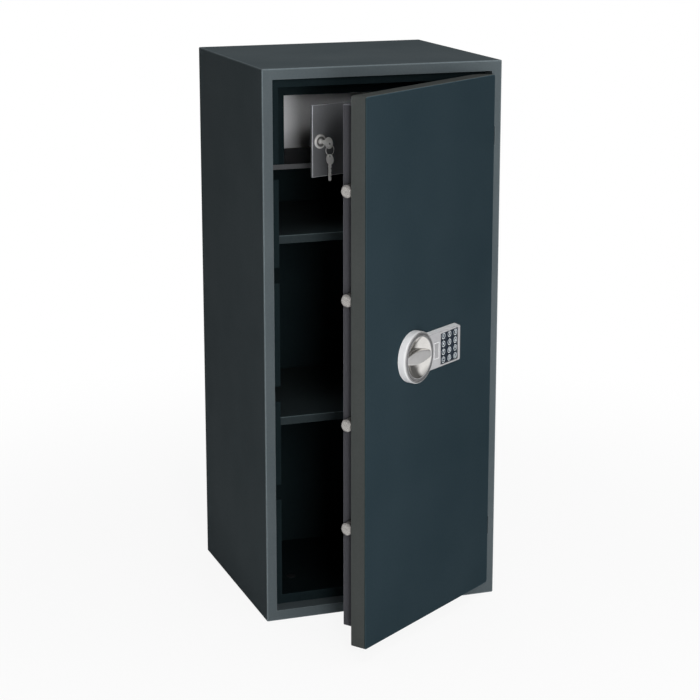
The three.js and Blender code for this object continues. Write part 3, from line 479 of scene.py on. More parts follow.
# Inner compartment. A floor with a folded lip and a front panel close off the top of the
# cabinet. Both are 1.5 mm sheet, the floor coated grey and the panel in the nearly black
# paint of painted shade. The hinge is drawn steel.
inner_paint = powder_coat("inner_paint", (0.085, 0.088, 0.093), (0.11, 0.113, 0.118), 0.55)
fine_edge_radius = 0.0003
fine_edge = (fine_edge_radius, 1)
for node, finish in (("locker_floor", inner_paint), ("locker_front_panel", shade_black_paint)):
    plain_piece(
        f"{node}_folded", node, cabinet_frame, (shelf_edge_radius, 1), finish, "cabinet",
    )
plain_piece(
    "locker_hinge_leaf", "locker_hinge", cabinet_frame, fine_edge, drawn_steel, "cabinet",
)


# Inner door. A shallow pan of 1.2 mm sheet with four bent edges stands a little open. A
# painted highlight, four times the coat's light tone, turns the rounded bends into a bright line.
locker_panel_front = 0.2035
locker_pivot = Vector((0.4165, locker_panel_front, 0.0))
locker_ajar = radians(20)
locker_frame = swung(cabinet_frame, locker_pivot, locker_ajar)
locker_bend = 0.001
cylinder_x = 0.121
cylinder_z = 0.85575
cylinder_hole_reach = 0.012


def is_pan_bend(a, b):
    off_the_hole = hypot(a.x - cylinder_x, a.z - cylinder_z) > cylinder_hole_reach
    return in_plane(a, b, 1, locker_panel_front) and off_the_hole


pan = solid("locker_door", locker_frame)
rounded(pan, locker_bend, 3, is_pan_bend)
rounded(pan, *fine_edge)
pan_paint = powder_coat("pan_paint", (0.155, 0.16, 0.17), (0.19, 0.196, 0.206), 0.4, 0.25, 4.0)
piece("inner_door_pan", pan, locker_frame, [pan_paint], "inner_door", ["locker_door"])


# Cylinder lock of the inner door. A turned rosette and threaded barrel and the plug with the
# keyway are bright nickel plate. Behind the sheet are a hexagon nut and a cranked cam.
cylinder_y = 0.2002
cylinder_place = locker_frame @ Matrix.Translation((cylinder_x, cylinder_y, cylinder_z))
recess_radii = (0.0055, 0.0091)
recess_floor = 0.001
facing_front = -0.3


def turned_nickel(name, dark, light, roughness, pitch, metallic=1.0):
    """Nickel plate over a turned face: fine concentric lines about the piece's own axis."""
    metal = Finish.surface(name, {"Metallic": metallic})
    place = metal.place()
    radius = metal.length(metal.stretched(place, (1.0, 0.0, 1.0)))
    sockets = {"W": radius * pitch, "Detail": 3.0}
    lines = metal.node("ShaderNodeTexNoise", {"noise_dimensions": "1D"}, sockets)
    breath = metal.noise(place, 60.0, 3.0)
    metal.give("Base Color", metal.tone(dark, light, lines * 0.5 + breath * 0.5))
    metal.give("Roughness", roughness - 0.06 + lines * 0.06 + breath * 0.06)
    metal.relief(lines, 0.05, 0.0002)
    return metal


bright_nickel = turned_nickel(
    "bright_nickel", (0.88, 0.87, 0.86), (0.96, 0.955, 0.945), 0.24, 4000.0, 0.2,
)
zinc_plate = machined_steel("zinc_plate", (0.36, 0.37, 0.36), (0.54, 0.55, 0.53), 0.42)
rosette = turned(eased((
    (0.0051, -0.019, 0.0), (0.008, -0.019, 0.0004), (0.008, -0.003, 0.0), (0.013, -0.003, 0.0002),
    (0.013, -0.0012, 0.0008), (0.0114, 0.0, 0.0005), (0.0092, 0.0, 0.0003), (0.0088, -0.0006, 0.0002),
    (0.0062, -0.0006, 0.0003), (0.0051, -0.0011, 0.0),
)), 72)
recess_shade_nickel = turned_nickel(
    "recess_shade_nickel", (0.16, 0.158, 0.155), (0.26, 0.257, 0.25), 0.3, 4000.0, 0.3,
)
# Painted shade: the floor of the rosette's ring recess takes a darker nickel.
for face in rosette.faces:
    middle = face.calc_center_median()
    in_recess = recess_radii[0] < hypot(middle.x, middle.z) < recess_radii[1]
    if in_recess and 0.0 < middle.y < recess_floor and face.normal.y < facing_front:
        face.material_index = 1
piece(
    "cylinder_rosette", rosette, cylinder_place, [bright_nickel, recess_shade_nickel], "inner_door",
    ["locker_lock_cylinder"],
)
for part, edge, finish, body, slot in (
    ("nut", (0.0004, 2), zinc_plate, "inner_door", "zincSteel"),
    ("plug", (0.0002, 1), bright_nickel, "lock_plug", "brightNickel"),
    ("cam", fine_edge, zinc_plate, "lock_plug", "zincSteel"),
):
    plain_piece(f"cylinder_{part}", f"locker_lock_{part}", locker_frame, edge, finish, body)


# Keys. Both are cut from 2.2 mm nickel-plated brass with a round bow, a ring hole, shoulders
# and a toothed blade. One is in the lock, and the spare hangs from a sprung split ring.
key_sheet = 0.0022
key_bow_radius = 0.0105
key_stem = 0.022
key_depth = 0.017
spare_bow_radius = 0.0095
spare_end = 0.0385
spare_hole = 0.006
key_hole = (-0.003, -0.0015)
key_hole_radius = 0.0025
half_blade = 0.004
neck_angle = 0.38
key_teeth = (0.3, 0.62, 0.42, 0.74, 0.36, 0.58)
fine_weld = 1e-6


def plate(outlines, thickness):
    """A flat plate in the plane of its outlines, with holes, cut square and broken at its edges."""
    curve = bpy.data.curves.new("plate", "CURVE")
    curve.dimensions = "2D"
    curve.fill_mode = "BOTH"
    curve.extrude = thickness / 2 - fine_edge_radius
    curve.bevel_depth = fine_edge_radius
    curve.bevel_resolution = 1
    curve.offset = -fine_edge_radius
    for outline in outlines:
        spline = curve.splines.new("POLY")
        spline.points.add(len(outline) - 1)
        for point, (across, up) in zip(spline.points, outline):
            point.co = (across, up, 0.0, 1.0)
        spline.use_cyclic_u = True
    bm = taken_from([added("plate", curve)])
    bmesh.ops.remove_doubles(bm, verts=bm.verts, dist=fine_weld)
    bmesh.ops.recalc_face_normals(bm, faces=bm.faces)
    return bm


def ring_hole(across, up):
    """A round hole, drawn the other way round than the outline that it is cut in."""
    turns = [-2 * pi * i / 32 for i in range(1, 33)]
    return [(across + key_hole_radius * cos(turn), up + key_hole_radius * sin(turn)) for turn in turns]


def key_outline(bow_radius, blade_end):
    """The bow is centred on the origin, and the blade runs along +x with teeth on its lower side."""
    turns = [neck_angle + (2 * pi - 2 * neck_angle) * i / 40 for i in range(41)]
    outline = [(bow_radius * cos(turn), bow_radius * sin(turn)) for turn in turns]
    shoulder = bow_radius + 0.0045
    shape = [(shoulder - 0.001, -1.0), (shoulder, -1.0), (shoulder, -0.86)]
    tooth_run = (blade_end - 0.003 - shoulder) / len(key_teeth)
    for i, depth in enumerate(key_teeth):
        x = shoulder + tooth_run * i
        shape.append((x + tooth_run * 0.25, -0.92))
        shape += [(x + tooth_run * 0.5, -depth), (x + tooth_run * 0.72, -depth)]
    shape += [
        (blade_end - 0.002, -0.7), (blade_end, -0.2), (blade_end, 0.4), (blade_end - 0.0015, 0.86),
        (shoulder, 0.86), (shoulder, 1.0), (shoulder - 0.001, 1.0),
    ]
    return outline + [(along, half_blade * share) for along, share in shape]


key_bow_y = cylinder_y - key_stem
key_plane = Matrix(((0, 0, 1, 0), (1, 0, 0, 0), (0, 1, 0, 0), (0, 0, 0, 1)))
in_lock = plate([key_outline(key_bow_radius, key_stem + key_depth), ring_hole(*key_hole)], key_sheet)
in_lock.transform(key_plane)
key_nickel = machined_steel(
    "key_nickel", (0.88, 0.87, 0.85), (0.96, 0.955, 0.94), 0.3, (500.0, 60.0, 500.0), 0.15,
)
piece(
    "key_in_cylinder", in_lock, locker_frame @ Matrix.Translation((cylinder_x, key_bow_y, cylinder_z)),
    [key_nickel], "key_in_lock", ["locker_key"],
)

ring_radius = 0.0092
ring_wire = 0.0004
ring_turns = 1.88
ring_lift = 0.00082
ring_hang = key_hole_radius - 0.00095
ring_y = key_bow_y + key_hole[0]
ring_z = cylinder_z + key_hole[1] - ring_hang - ring_radius


def wire(path, radius):
    """A round wire along a path of points, closed at both ends."""
    bm = bmesh.new()
    sides = 8
    turns = [2 * pi * j / sides for j in range(sides)]
    rings = []
    for i, here in enumerate(path):
        ahead = path[min(i + 1, len(path) - 1)] - path[max(i - 1, 0)]
        along = ahead.normalized()
        aside = along.cross(Vector((0.0, 1.0, 0.0))).normalized()
        above = aside.cross(along)
        spokes = [aside * radius * cos(turn) + above * radius * sin(turn) for turn in turns]
        rings.append([bm.verts.new(here + spoke) for spoke in spokes])
    for first, second in zip(rings, rings[1:]):
        for j in range(sides):
            k = (j + 1) % sides
            bm.faces.new((first[j], first[k], second[k], second[j]))
    bm.faces.new(rings[0][::-1])
    bm.faces.new(rings[-1])
    bmesh.ops.recalc_face_normals(bm, faces=bm.faces)
    return bm


coil = []
for i in range(121):
    turn = 2 * pi * ring_turns * i / 120
    step = min(max((i / 120 - 0.44) / 0.12, 0.0), 1.0)
    coil.append(Vector((ring_radius * cos(turn), ring_lift * (step - 0.5), ring_radius * sin(turn))))
ring_place = locker_frame @ Matrix.Translation((cylinder_x, ring_y, ring_z))
piece("split_ring", wire(coil, ring_wire), ring_place, [key_nickel], "ring", ["key_ring"])

spare_bow_z = ring_z - ring_radius - ring_hang - spare_hole
spare = plate([key_outline(spare_bow_radius, spare_end), ring_hole(-spare_hole, 0.0)], key_sheet)
spare.transform(key_plane)
spare_place = locker_frame @ Matrix.Translation((cylinder_x, ring_y, spare_bow_z)) @ upright
piece("spare_key_cut", spare, spare_place, [key_nickel], "spare", ["spare_key"])


# Door slab. A tray of 3 mm steel with a plain front, its edges bent back and a plate let in
# flush behind. The front is dark blue-grey, and the edges are a lighter grey as painted light
# on what is one coat. On the bend of the free edge a narrow dark line is a painted shadow, as
# of a groove where the front meets the edge.
slab_low = Vector((0.023, 0.0, 0.024))
slab_high = Vector((0.422, 0.0299, 0.976))
slab_margin = 0.0006
slab_bend = 0.0016
slab_corner = 0.001
shadow_line_reach = 0.0017
shadow_line_facing = (-0.96, -0.1)
lit_edge_facing = -0.6
lock_x = 0.163
lock_z = 0.516
spindle_hole_reach = 0.02
door_front_paint = powder_coat(
    "door_front_paint", (0.016, 0.028, 0.035), (0.0225, 0.0362, 0.0442), 0.46, 0.0, 1.8,
)
# The edges' lighter grey is painted light on what is one coat with the front.
door_edge_lit_paint = powder_coat("door_edge_lit_paint", (0.047, 0.052, 0.05), (0.063, 0.068, 0.066), 0.5)
case_paint = powder_coat("case_paint", (0.056, 0.056, 0.063), (0.076, 0.076, 0.085), 0.5, 0.0, 2.8)
free_edge_shadow_paint = powder_coat("free_edge_shadow_paint", (0.009, 0.018, 0.021), (0.013, 0.024, 0.027), 0.5, 0.0, 1.0)


def is_slab_bend(a, b):
    return is_on_front(a, b) and hypot(a.x - lock_x, a.z - lock_z) > spindle_hole_reach


def is_slab_back_corner(a, b):
    beside = a.x < slab_low.x + slab_margin or a.x > slab_high.x - slab_margin
    over = a.z < slab_low.z + slab_margin or a.z > slab_high.z - slab_margin
    return min(a.y, b.y) > slab_high.y and (beside or over)


slab = solid("door_slab", door_frame)
rounded(slab, slab_bend, 4, is_slab_bend)
rounded(slab, slab_corner, 2, is_slab_back_corner)
# Faces on the bend of the free edge get a near-black paint as a painted shadow line.
for face in slab.faces:
    at_free_edge = face.calc_center_median().x < slab_low.x + shadow_line_reach
    if at_free_edge and shadow_line_facing[0] < face.normal.y < shadow_line_facing[1]:
        face.material_index = 2
    else:
        face.material_index = 0 if face.normal.y < lit_edge_facing else 1
piece(
    "slab_tray", slab, door_frame, [door_front_paint, door_edge_lit_paint, free_edge_shadow_paint], "door",
    ["door_slab"],
)
plain_piece("slab_lining", "door_back_plate", door_frame, fine_edge, case_paint, "door")


# Lock case. A pan of 1.5 mm sheet behind the slab covers the lockwork. Six pan-head screws
# hold it to posts, black bushes line the four bolt holes, and a lid closes the battery tray.
case_bend = 0.0012
case_back = 0.061
case_left = 0.044
case_planes = ((0, case_left), (0, 0.4), (1, case_back), (2, 0.05), (2, 0.958))
screw_places = [(x, z) for x in (0.144, 0.38) for z in (0.08, 0.585, 0.928)]
screw_head_radius = 0.0042
screw_head_height = 0.0024
case = solid("lock_case", door_frame)
rounded(case, case_bend, 3, lambda a, b: planes_shared(a, b, case_planes) >= 2)
rounded(case, *fine_edge)
piece("lock_case_pan", case, door_frame, [case_paint], "door", ["lock_case"])


def cube(low, high):
    bm = bmesh.new()
    bmesh.ops.create_cube(bm, size=1.0)
    for vert in bm.verts:
        for axis in range(3):
            vert.co[axis] = low[axis] if vert.co[axis] < 0 else high[axis]
    return bm


def pan_head(radius, height):
    """A low domed screw head with a cross recess, its seat on the plane of the origin."""
    dome = turned(eased((
        (0.0, 0.0, 0.0), (radius, 0.0, 0.0), (radius, height * 0.8, height * 0.7), (0.0, height, 0.0),
    ), 6), 40)
    arm = radius * 0.55
    half = radius * 0.11
    above = -height - 0.001
    below = -height * 0.35
    first = cube((-arm, above, -half), (arm, below, half))
    second = cube((-half, above, -arm), (half, below, arm))
    return combined([dome, first, second], "DIFFERENCE")


for i, (x, z) in enumerate(screw_places):
    turn = Matrix.Rotation(pi, 4, "Z") @ Matrix.Rotation(0.4 + 1.3 * i, 4, "Y")
    place = door_frame @ Matrix.Translation((x, case_back, z)) @ turn
    head = pan_head(screw_head_radius, screw_head_height)
    piece(f"case_screw_{i + 1}", head, place, [zinc_plate], "door")
plain_piece(
    "battery_cover", "battery_lid", door_frame, (0.0005, 2), black_plastic, "door",
)
plain_piece("interlock_bar", "interlock_rail", door_frame, (0.0004, 2), drawn_steel, "door")


# Bolts. Four 22 mm turned steel bars with a wide chamfer at the tip, bright nickel plated,
# carried by the bar inside the case and guided by the bushes in its side.
bolt_radius = 0.011
bolt_length = 0.062
bolt_tip_x = 0.0255
bolt_axis_y = 0.043
bolt_heights = (0.233, 0.417, 0.633, 0.817)
bush_bore = bolt_radius + 0.0003
bush_front = 0.0007
bush_back = -0.0012
bolt_profile = eased((
    (0.0, -bolt_length, 0.0), (bolt_radius, -bolt_length, 0.0003), (bolt_radius, -0.003, 0.0005),
    (bolt_radius - 0.003, 0.0, 0.0004), (0.0022, 0.0, 0.0001), (0.0, -0.0013, 0.0),
))
bush_profile = eased((
    (bush_bore, bush_back, 0.0), (0.0114, bush_back, 0.0), (0.0114, 0.0, 0.0), (0.0132, 0.0, 0.0),
    (0.0132, bush_front, 0.0003), (bush_bore, bush_front, 0.0002),
))
towards_left = Matrix.Rotation(-pi / 2, 4, "Z")
bolt_plate = turned_nickel("bolt_plate", (0.3, 0.288, 0.277), (0.42, 0.405, 0.39), 0.27, 3000.0, 0.7)
for i, z in enumerate(bolt_heights):
    bar = turned(bolt_profile, 72)
    tip = door_frame @ Matrix.Translation((bolt_tip_x, bolt_axis_y, z)) @ towards_left
    piece(f"bolt_{i + 1}_turned", bar, tip, [bolt_plate], "boltwork", [f"bolt_{i + 1}"])
    seat = door_frame @ Matrix.Translation((case_left, bolt_axis_y, z)) @ towards_left
    piece(f"bolt_bush_{i + 1}", turned(bush_profile, 56), seat, [black_plastic], "door")


# Lockwork. The bolt bar, cam disc, spindle, lock body, plunger, battery tray and the slab's
# stiffeners are hidden inside the door. They keep the solids' shapes and get their finishes.
hidden_finishes = {
    "bolt_bar": zinc_plate, "cam_disc": zinc_plate, "slab_stiffener": zinc_plate,
    "knob_spindle": drawn_steel, "blocking_plunger": drawn_steel,
    "lock_body": black_plastic, "battery_tray": black_plastic,
}
for node, finish in hidden_finishes.items():
    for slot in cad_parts[node].material_slots:
        slot.material = finish.material


# Lock housing. A round die-cast collar with straight sides and a rolled rim, in one satin
# nickel in three tones: pale on its sides as painted light, a middle tone on the roll and
# darker on the flat front. The knob turns in it with a narrow dark gap all round.
knob_place = door_frame @ Matrix.Translation((lock_x, 0.0, lock_z))
housing_radius = 0.0455
housing_front = 0.015
housing_bore = 0.0431
housing_back = 0.0003
housing_web = 0.0023
spindle_hole = 0.0055
roll_in = 0.0018
roll_back = 0.0034
side_band = 0.0014
lit_side_nickel = turned_nickel("lit_side_nickel", (0.74, 0.74, 0.75), (0.84, 0.84, 0.85), 0.42, 2600.0, 0.1)
rim_nickel = turned_nickel("rim_nickel", (0.36, 0.36, 0.365), (0.47, 0.47, 0.475), 0.3, 2600.0, 0.6)
roll_nickel = turned_nickel("roll_nickel", (0.56, 0.56, 0.565), (0.66, 0.66, 0.665), 0.34, 2600.0, 0.3)
rim_roll = [
    (housing_radius - roll_in * (1 - cos(turn)), housing_front - roll_back * (1 - sin(turn)), 0.0)
    for turn in (pi / 16 * i for i in range(9))
]
housing = turned(eased([
    (spindle_hole, housing_back, 0.0), (housing_radius, housing_back, 0.0004), *rim_roll,
    (housing_bore, housing_front - 0.0008, 0.0), (housing_bore, housing_web, 0.0),
    (spindle_hole, housing_web, 0.0),
]), 144)
# Painted light: the side faces take the pale tone, the roll's forward faces the middle tone, and the
# flat front the darker one.
for face in housing.faces:
    middle = face.calc_center_median()
    if hypot(middle.x, middle.z) <= housing_radius - side_band:
        face.material_index = 1
    elif face.normal.y <= facing_front:
        face.material_index = 2
piece(
    "knob_housing", housing, knob_place, [lit_side_nickel, rim_nickel, roll_nickel], "door",
    ["lock_housing"],
)


# Knob. One die-casting, nickel plated: a satin rim with three fine grooves, a deep polished
# dish, and a broad level bridge for the fingers, wide in the middle and narrow at its ends.
knob_radius = 0.0425
knob_back = 0.003
knob_front = 0.0156
rim_grooves = (0.0379, 0.0396, 0.0411)
groove_half = 0.0006
groove_depth = 0.0006
dish_radius = 0.0362
dish_floor = 0.0066
dish_brim = knob_front - 0.0006
dish_power = 3.2
bridge_front = 0.0152
bridge_middle = 0.011
bridge_end = 0.0046
bridge_flank = 0.0026
bridge_bevel = 0.001
bridge_crown = 0.0003
bridge_bevel_drop = 0.0006
bridge_shares = (-1.0, -0.96, -0.91, -0.75, -0.4, 0.0, 0.4, 0.75, 0.91, 0.96, 1.0)


def ease(value):
    """0 up to 0 and 1 from 1 on, with a soft start and end between them."""
    value = min(max(value, 0.0), 1.0)
    return value * value * (3 - 2 * value)


def bridge_half(across):
    return bridge_middle + (bridge_end - bridge_middle) * (across / dish_radius) ** 2


def knob_height(across, up):
    """How far the casting's front stands off the slab at a point of its face."""
    radius = hypot(across, up)
    if radius > dish_radius + fine_weld:
        depths = (ease(1 - abs(radius - groove) / groove_half) for groove in rim_grooves)
        return knob_front - groove_depth * sum(depths)
    floor = dish_floor + (dish_brim - dish_floor) * (radius / dish_radius) ** dish_power
    half = bridge_half(across)
    flank = ease((half + bridge_flank - abs(up)) / bridge_flank)
    bevel = ease(1 - (half - abs(up)) / bridge_bevel) if abs(up) < half else 1.0
    crown = bridge_front - bridge_crown * min(abs(up) / half, 1.0) ** 2 - bridge_bevel_drop * bevel
    return max(floor, floor + (crown - floor) * flank)


def dished_knob(columns, rows, foot_rows):
    """Two halves of the dish and the bridge are nets that share the lines in which they meet.
    The rows are closer at the foot of the bridge, and the rim's rings go on from the dish."""
    bm = bmesh.new()
    known = {}

    def corner(across, up):
        key = (round(across, 7), round(up, 7))
        if key not in known:
            known[key] = bm.verts.new((across, -knob_height(across, up), up))
        return known[key]

    def net(lines):
        for low, high in zip(lines, lines[1:]):
            for quad in zip(low, low[1:], high[1:], high):
                add_face(bm, quad)

    meeting = dish_radius
    for _ in range(20):
        meeting = (dish_radius ** 2 - bridge_half(meeting) ** 2) ** 0.5
    first = atan2(bridge_half(meeting), meeting)
    angles = [first + (pi - 2 * first) * i / columns for i in range(columns + 1)]
    for side in (1, -1):
        lines = []
        for j in range(rows + 1):
            lines.append([])
            for angle in angles:
                across = dish_radius * cos(angle)
                start = bridge_half(across)
                depth = max(dish_radius * sin(angle) - start, 0.0)
                foot = min(bridge_flank, depth * foot_rows / rows)
                up = foot * j / foot_rows
                if j >= foot_rows:
                    up = foot + (depth - foot) * (j - foot_rows) / (rows - foot_rows)
                lines[-1].append(corner(across, side * (start + up)))
        net(lines)
    lines = []
    for share in bridge_shares:
        reach = (dish_radius ** 2 - (share * bridge_half(meeting)) ** 2) ** 0.5
        lines.append([])
        for angle in angles:
            across = dish_radius * cos(angle)
            lines[-1].append(corner(across * reach / meeting, share * bridge_half(across)))
    net(lines)
    brim = sorted(
        (vert for vert in bm.verts if abs(hypot(vert.co.x, vert.co.z) - dish_radius) < fine_weld),
        key=lambda vert: atan2(vert.co.z, vert.co.x),
    )
    turns = [atan2(vert.co.z, vert.co.x) for vert in brim]
    profile = [(dish_radius + 0.0004, knob_front)]
    for groove in rim_grooves:
        for step in (-1.0, -0.5, 0.0, 0.5, 1.0):
            radius = groove + groove_half * step
            profile.append((radius, knob_height(radius, 0.0)))
    profile += [
        (knob_radius - 0.0005, knob_front - 0.0001), (knob_radius - 0.0002, knob_front - 0.0004),
        (knob_radius, knob_front - 0.0009), (knob_radius, knob_back),
    ]
    loops = [brim]
    loops += [ring_of(bm, radius, height, turns) for radius, height in profile]
    for inner, outer in zip(loops, loops[1:]):
        for i in range(len(brim)):
            j = (i + 1) % len(brim)
            bm.faces.new((inner[i], outer[i], outer[j], inner[j]))
    bm.faces.new(loops[-1][::-1])
    bmesh.ops.recalc_face_normals(bm, faces=bm.faces)
    return bm


bridge_nickel = turned_nickel(
    "bridge_nickel", (0.43, 0.425, 0.425), (0.51, 0.505, 0.505), 0.34, 2600.0, 0.6,
)
groove_shade_nickel = turned_nickel(
    "groove_shade_nickel", (0.05, 0.05, 0.052), (0.09, 0.09, 0.093), 0.5, 2600.0, 0.3,
)
polished_nickel = turned_nickel(
    "polished_nickel", (0.66, 0.645, 0.62), (0.78, 0.765, 0.74), 0.13, 1500.0,
)
knob = dished_knob(96, 24, 6)
# Painted shade: the floors of the rim's grooves take a near-black nickel.
for face in knob.faces:
    middle = face.calc_center_median()
    radius = hypot(middle.x, middle.z)
    if radius > dish_radius:
        in_groove = any(abs(radius - groove) < groove_half * 0.8 for groove in rim_grooves)
        face.material_index = 3 if in_groove and face.normal.y < facing_front else 2
    else:
        face.material_index = 1 if abs(middle.z) > bridge_half(middle.x) and face.normal.y < 0 else 0
piece(
    "dished_knob", knob, knob_place, [bridge_nickel, polished_nickel, rim_nickel, groove_shade_nickel], "knob",
    ["knob_disc"],
)


# Keypad. A satin nickel body wraps the housing, with a blank framed plate and a square
# pocket. The dark panel in the pocket has twelve round keys with light rings and figures.
keypad_half = 0.0335
keypad_right = 0.2985
keypad_front = -0.012
keypad_draft = 0.0018
keypad_side = -0.0105
keypad_band_x = 0.0045
keypad_band_z = 0.0019
keypad_start = 0.2
keypad_rim_half = 0.0312
keypad_rim_right = 0.293
seat_radius = 0.0458
plaque_front = -0.0128
plaque_frame = 0.0011
plaque_step = 0.0005


def brushed_nickel(name, dark, light, roughness):
    """Satin nickel brushed from side to side."""
    metal = Finish.surface(name, {"Metallic": 0.6})
    place = metal.place()
    lines = metal.noise(metal.stretched(place, (90.0, 900.0, 2600.0)), 1.0, 3.0)
    breath = metal.noise(place, 45.0, 3.0)
    metal.give("Base Color", metal.tone(dark, light, lines * 0.55 + breath * 0.45))
    metal.give("Roughness", roughness - 0.08 + lines * 0.1 + breath * 0.06)
    metal.relief(lines, 0.06, 0.0002)
    return metal


keypad_nickel = brushed_nickel("keypad_nickel", (0.49, 0.49, 0.505), (0.6, 0.6, 0.615), 0.36)
body = solid("keypad_body", door_frame)


def is_keypad_outline(spot):
    """True for a spot in the narrow band along the body's outer sides."""
    above_or_below = abs(spot.z - lock_z) > keypad_half - keypad_band_z
    return above_or_below or spot.x > keypad_right - keypad_band_x


def is_keypad_front(a, b):
    """True on the outer edges of the front, but not round the pocket."""
    on_rim = all(abs(end.z - lock_z) > keypad_rim_half or end.x > keypad_rim_right for end in (a, b))
    return on_rim and max(a.y, b.y) < keypad_front + touching


def is_keypad_inner(a, b):
    """False on the outer sides' front edges, which are rounded already."""
    return max(a.y, b.y) > keypad_side or not (is_keypad_outline(a) and is_keypad_outline(b))


for vert in body.verts:
    if vert.co.y < keypad_front + touching and is_keypad_outline(vert.co):
        beside_housing = hypot(vert.co.x - lock_x, vert.co.z - lock_z) < seat_radius + 0.0002
        vert.co.z = lock_z + (vert.co.z - lock_z) * (1 - keypad_draft / keypad_half)
        share = max(0.0, (vert.co.x - keypad_start) / (keypad_right - keypad_start))
        vert.co.x -= keypad_draft * 0.6 * share
        if beside_housing:
            vert.co.x = lock_x + (seat_radius ** 2 - (vert.co.z - lock_z) ** 2) ** 0.5
rounded(body, 0.0007, 2, is_keypad_front, False)
rounded(body, 0.00025, 1, is_keypad_inner, False)
# Painted light: sides that face up or left, and the flat frame round the plaque as a painted highlight,
# take the pale side nickel.
for face in body.faces:
    middle = face.calc_center_median()
    if face.normal.y > -0.6 and is_keypad_outline(middle):
        face.material_index = 2
plaque_faces = [
    face for face in body.faces
    if face.normal.y < -0.99 and face.calc_center_median().y < plaque_front + touching
]
frame_faces = bmesh.ops.inset_region(body, faces=plaque_faces, thickness=plaque_frame)["faces"]
bmesh.ops.inset_region(body, faces=plaque_faces, thickness=plaque_step, depth=-plaque_step)
for face in plaque_faces:
    face.material_index = 1
for face in frame_faces:
    face.material_index = 2
plaque_nickel = brushed_nickel("plaque_nickel", (0.4, 0.4, 0.41), (0.5, 0.5, 0.51), 0.4)
piece(
    "keypad_casting", body, door_frame, [keypad_nickel, plaque_nickel, lit_side_nickel], "door",
    ["keypad_body"],
)
field_plastic = moulded_plastic("field_plastic", (0.007, 0.012, 0.02), (0.013, 0.02, 0.031), 0.34)
plain_piece(
    "keypad_field", "keypad_panel", door_frame, (0.0002, 1), field_plastic, "door",
)

key_radius = 0.0058
key_collar = 0.0067
key_back = 0.0071
key_shoulder = 0.0081
key_flat = 0.0114
key_top = 0.0116
key_profile = eased((
    (0.0, key_back, 0.0), (key_collar, key_back, 0.0), (key_collar, key_shoulder, 0.0002),
    (key_radius, key_shoulder, 0.0), (key_radius, key_top, 0.0005), (0.004, key_flat, 0.0008),
    (0.0, key_flat, 0.0),
))
figure_size = 0.008
figure_front = 0.01141
field_left = 0.2343
field_size = 0.057
ring_print = (0.0045, 0.0054)


def printed_key():
    """Dark plastic with a narrow light ring printed near the key's edge."""
    plastic = Finish.surface("key_plastic", {"Specular IOR Level": 0.15})
    place = plastic.place()
    grain = plastic.noise(place, 1800.0, 1.0)
    radius = plastic.length(plastic.stretched(place, (1.0, 0.0, 1.0)))
    inner, outer = ring_print
    ring = radius.maths("GREATER_THAN", radius, inner) * radius.maths("LESS_THAN", radius, outer)
    ground = plastic.tone((0.012, 0.02, 0.03), (0.022, 0.032, 0.045), grain)
    plastic.give("Base Color", plastic.mixed(ring, ground, (0.68, 0.73, 0.76, 1.0)))
    plastic.give("Roughness", 0.32 + grain * 0.12)
    plastic.relief(grain, 0.1, 0.0002)
    return plastic


def printed_ink():
    ink = Finish.surface("key_print", {})
    grain = ink.noise(ink.place(), 2500.0, 1.0)
    ink.give("Base Color", ink.tone((0.66, 0.71, 0.74), (0.78, 0.82, 0.84), grain))
    ink.give("Roughness", 0.45 + grain * 0.1)
    return ink


def figure(text):
    """A printed figure, a few hundredths of a millimetre thick, standing in the x-z plane."""
    curve = bpy.data.curves.new("figure", "FONT")
    curve.body = text
    curve.size = figure_size
    curve.align_x = "CENTER"
    curve.align_y = "CENTER"
    curve.extrude = 0.00002
    curve.offset = 0.00006
    bm = taken_from([added("figure", curve)])
    bm.transform(Matrix.Rotation(pi / 2, 4, "X"))
    bmesh.ops.remove_doubles(bm, verts=bm.verts, dist=fine_weld)
    return bm


key_plastic = printed_key()
key_print = printed_ink()
key_names = (*"123456789", "clear", "0", "enter")
key_figures = "123456789C0E"
for i, (name, text) in enumerate(zip(key_names, key_figures)):
    x = field_left + field_size * (i % 3 + 0.5) / 3
    z = lock_z + field_size / 2 - field_size * (i // 3 + 0.5) / 4
    place = door_frame @ Matrix.Translation((x, 0.0, z))
    cap = turned(key_profile, 48)
    body = f"key_{name}_body"
    piece(f"key_{name}_cap", cap, place, [key_plastic], body, [f"key_{name}"])
    printed = place @ Matrix.Translation((0.0, -figure_front, 0.0))
    piece(f"key_{name}_figure", figure(text), printed, [key_print], body)


# Studio. A plain pale floor that keeps the safe's soft shadow and fades to white, one large
# lamp in front, a narrow one before the open gap, one above and one behind, and a pale
# surround. Metal mirrors only the floor and the surround, which are darker on the right.
dark_share = 0.88
dim_light = 0.08
floor_mesh = bmesh.new()
bmesh.ops.create_circle(floor_mesh, cap_ends=True, radius=16.0, segments=96)
floor_data = bpy.data.meshes.new("floor")
floor_mesh.to_mesh(floor_data)
floor_mesh.free()
floor = added("floor", floor_data)
floor.location = (0.0, 0.0, -0.0004)


def smooth_step(finish, value, low, high, first=0.0, last=1.0):
    sockets = {0: value, 1: low, 2: high, 3: first, 4: last}
    return finish.node("ShaderNodeMapRange", {"interpolation_type": "SMOOTHSTEP"}, sockets)


def ray_kinds(finish):
    """1 for what is seen straight, in a mirror and through a clear body, and else 0."""
    kinds = ("Is Camera Ray", "Is Glossy Ray", "Is Transmission Ray")
    return [finish.node("ShaderNodeLightPath", {}, {}, kind) for kind in kinds]


def dark_flank(finish, heading):
    """The share of light that mirrors miss in this heading: most of it far to the right."""
    aside = finish.node("ShaderNodeSeparateXYZ", {}, {0: heading}, "X")
    behind = finish.node("ShaderNodeSeparateXYZ", {}, {0: heading}, "Y")
    return smooth_step(finish, aside, 0.5, 0.85) * smooth_step(finish, behind, -0.3, 0.0) * dark_share


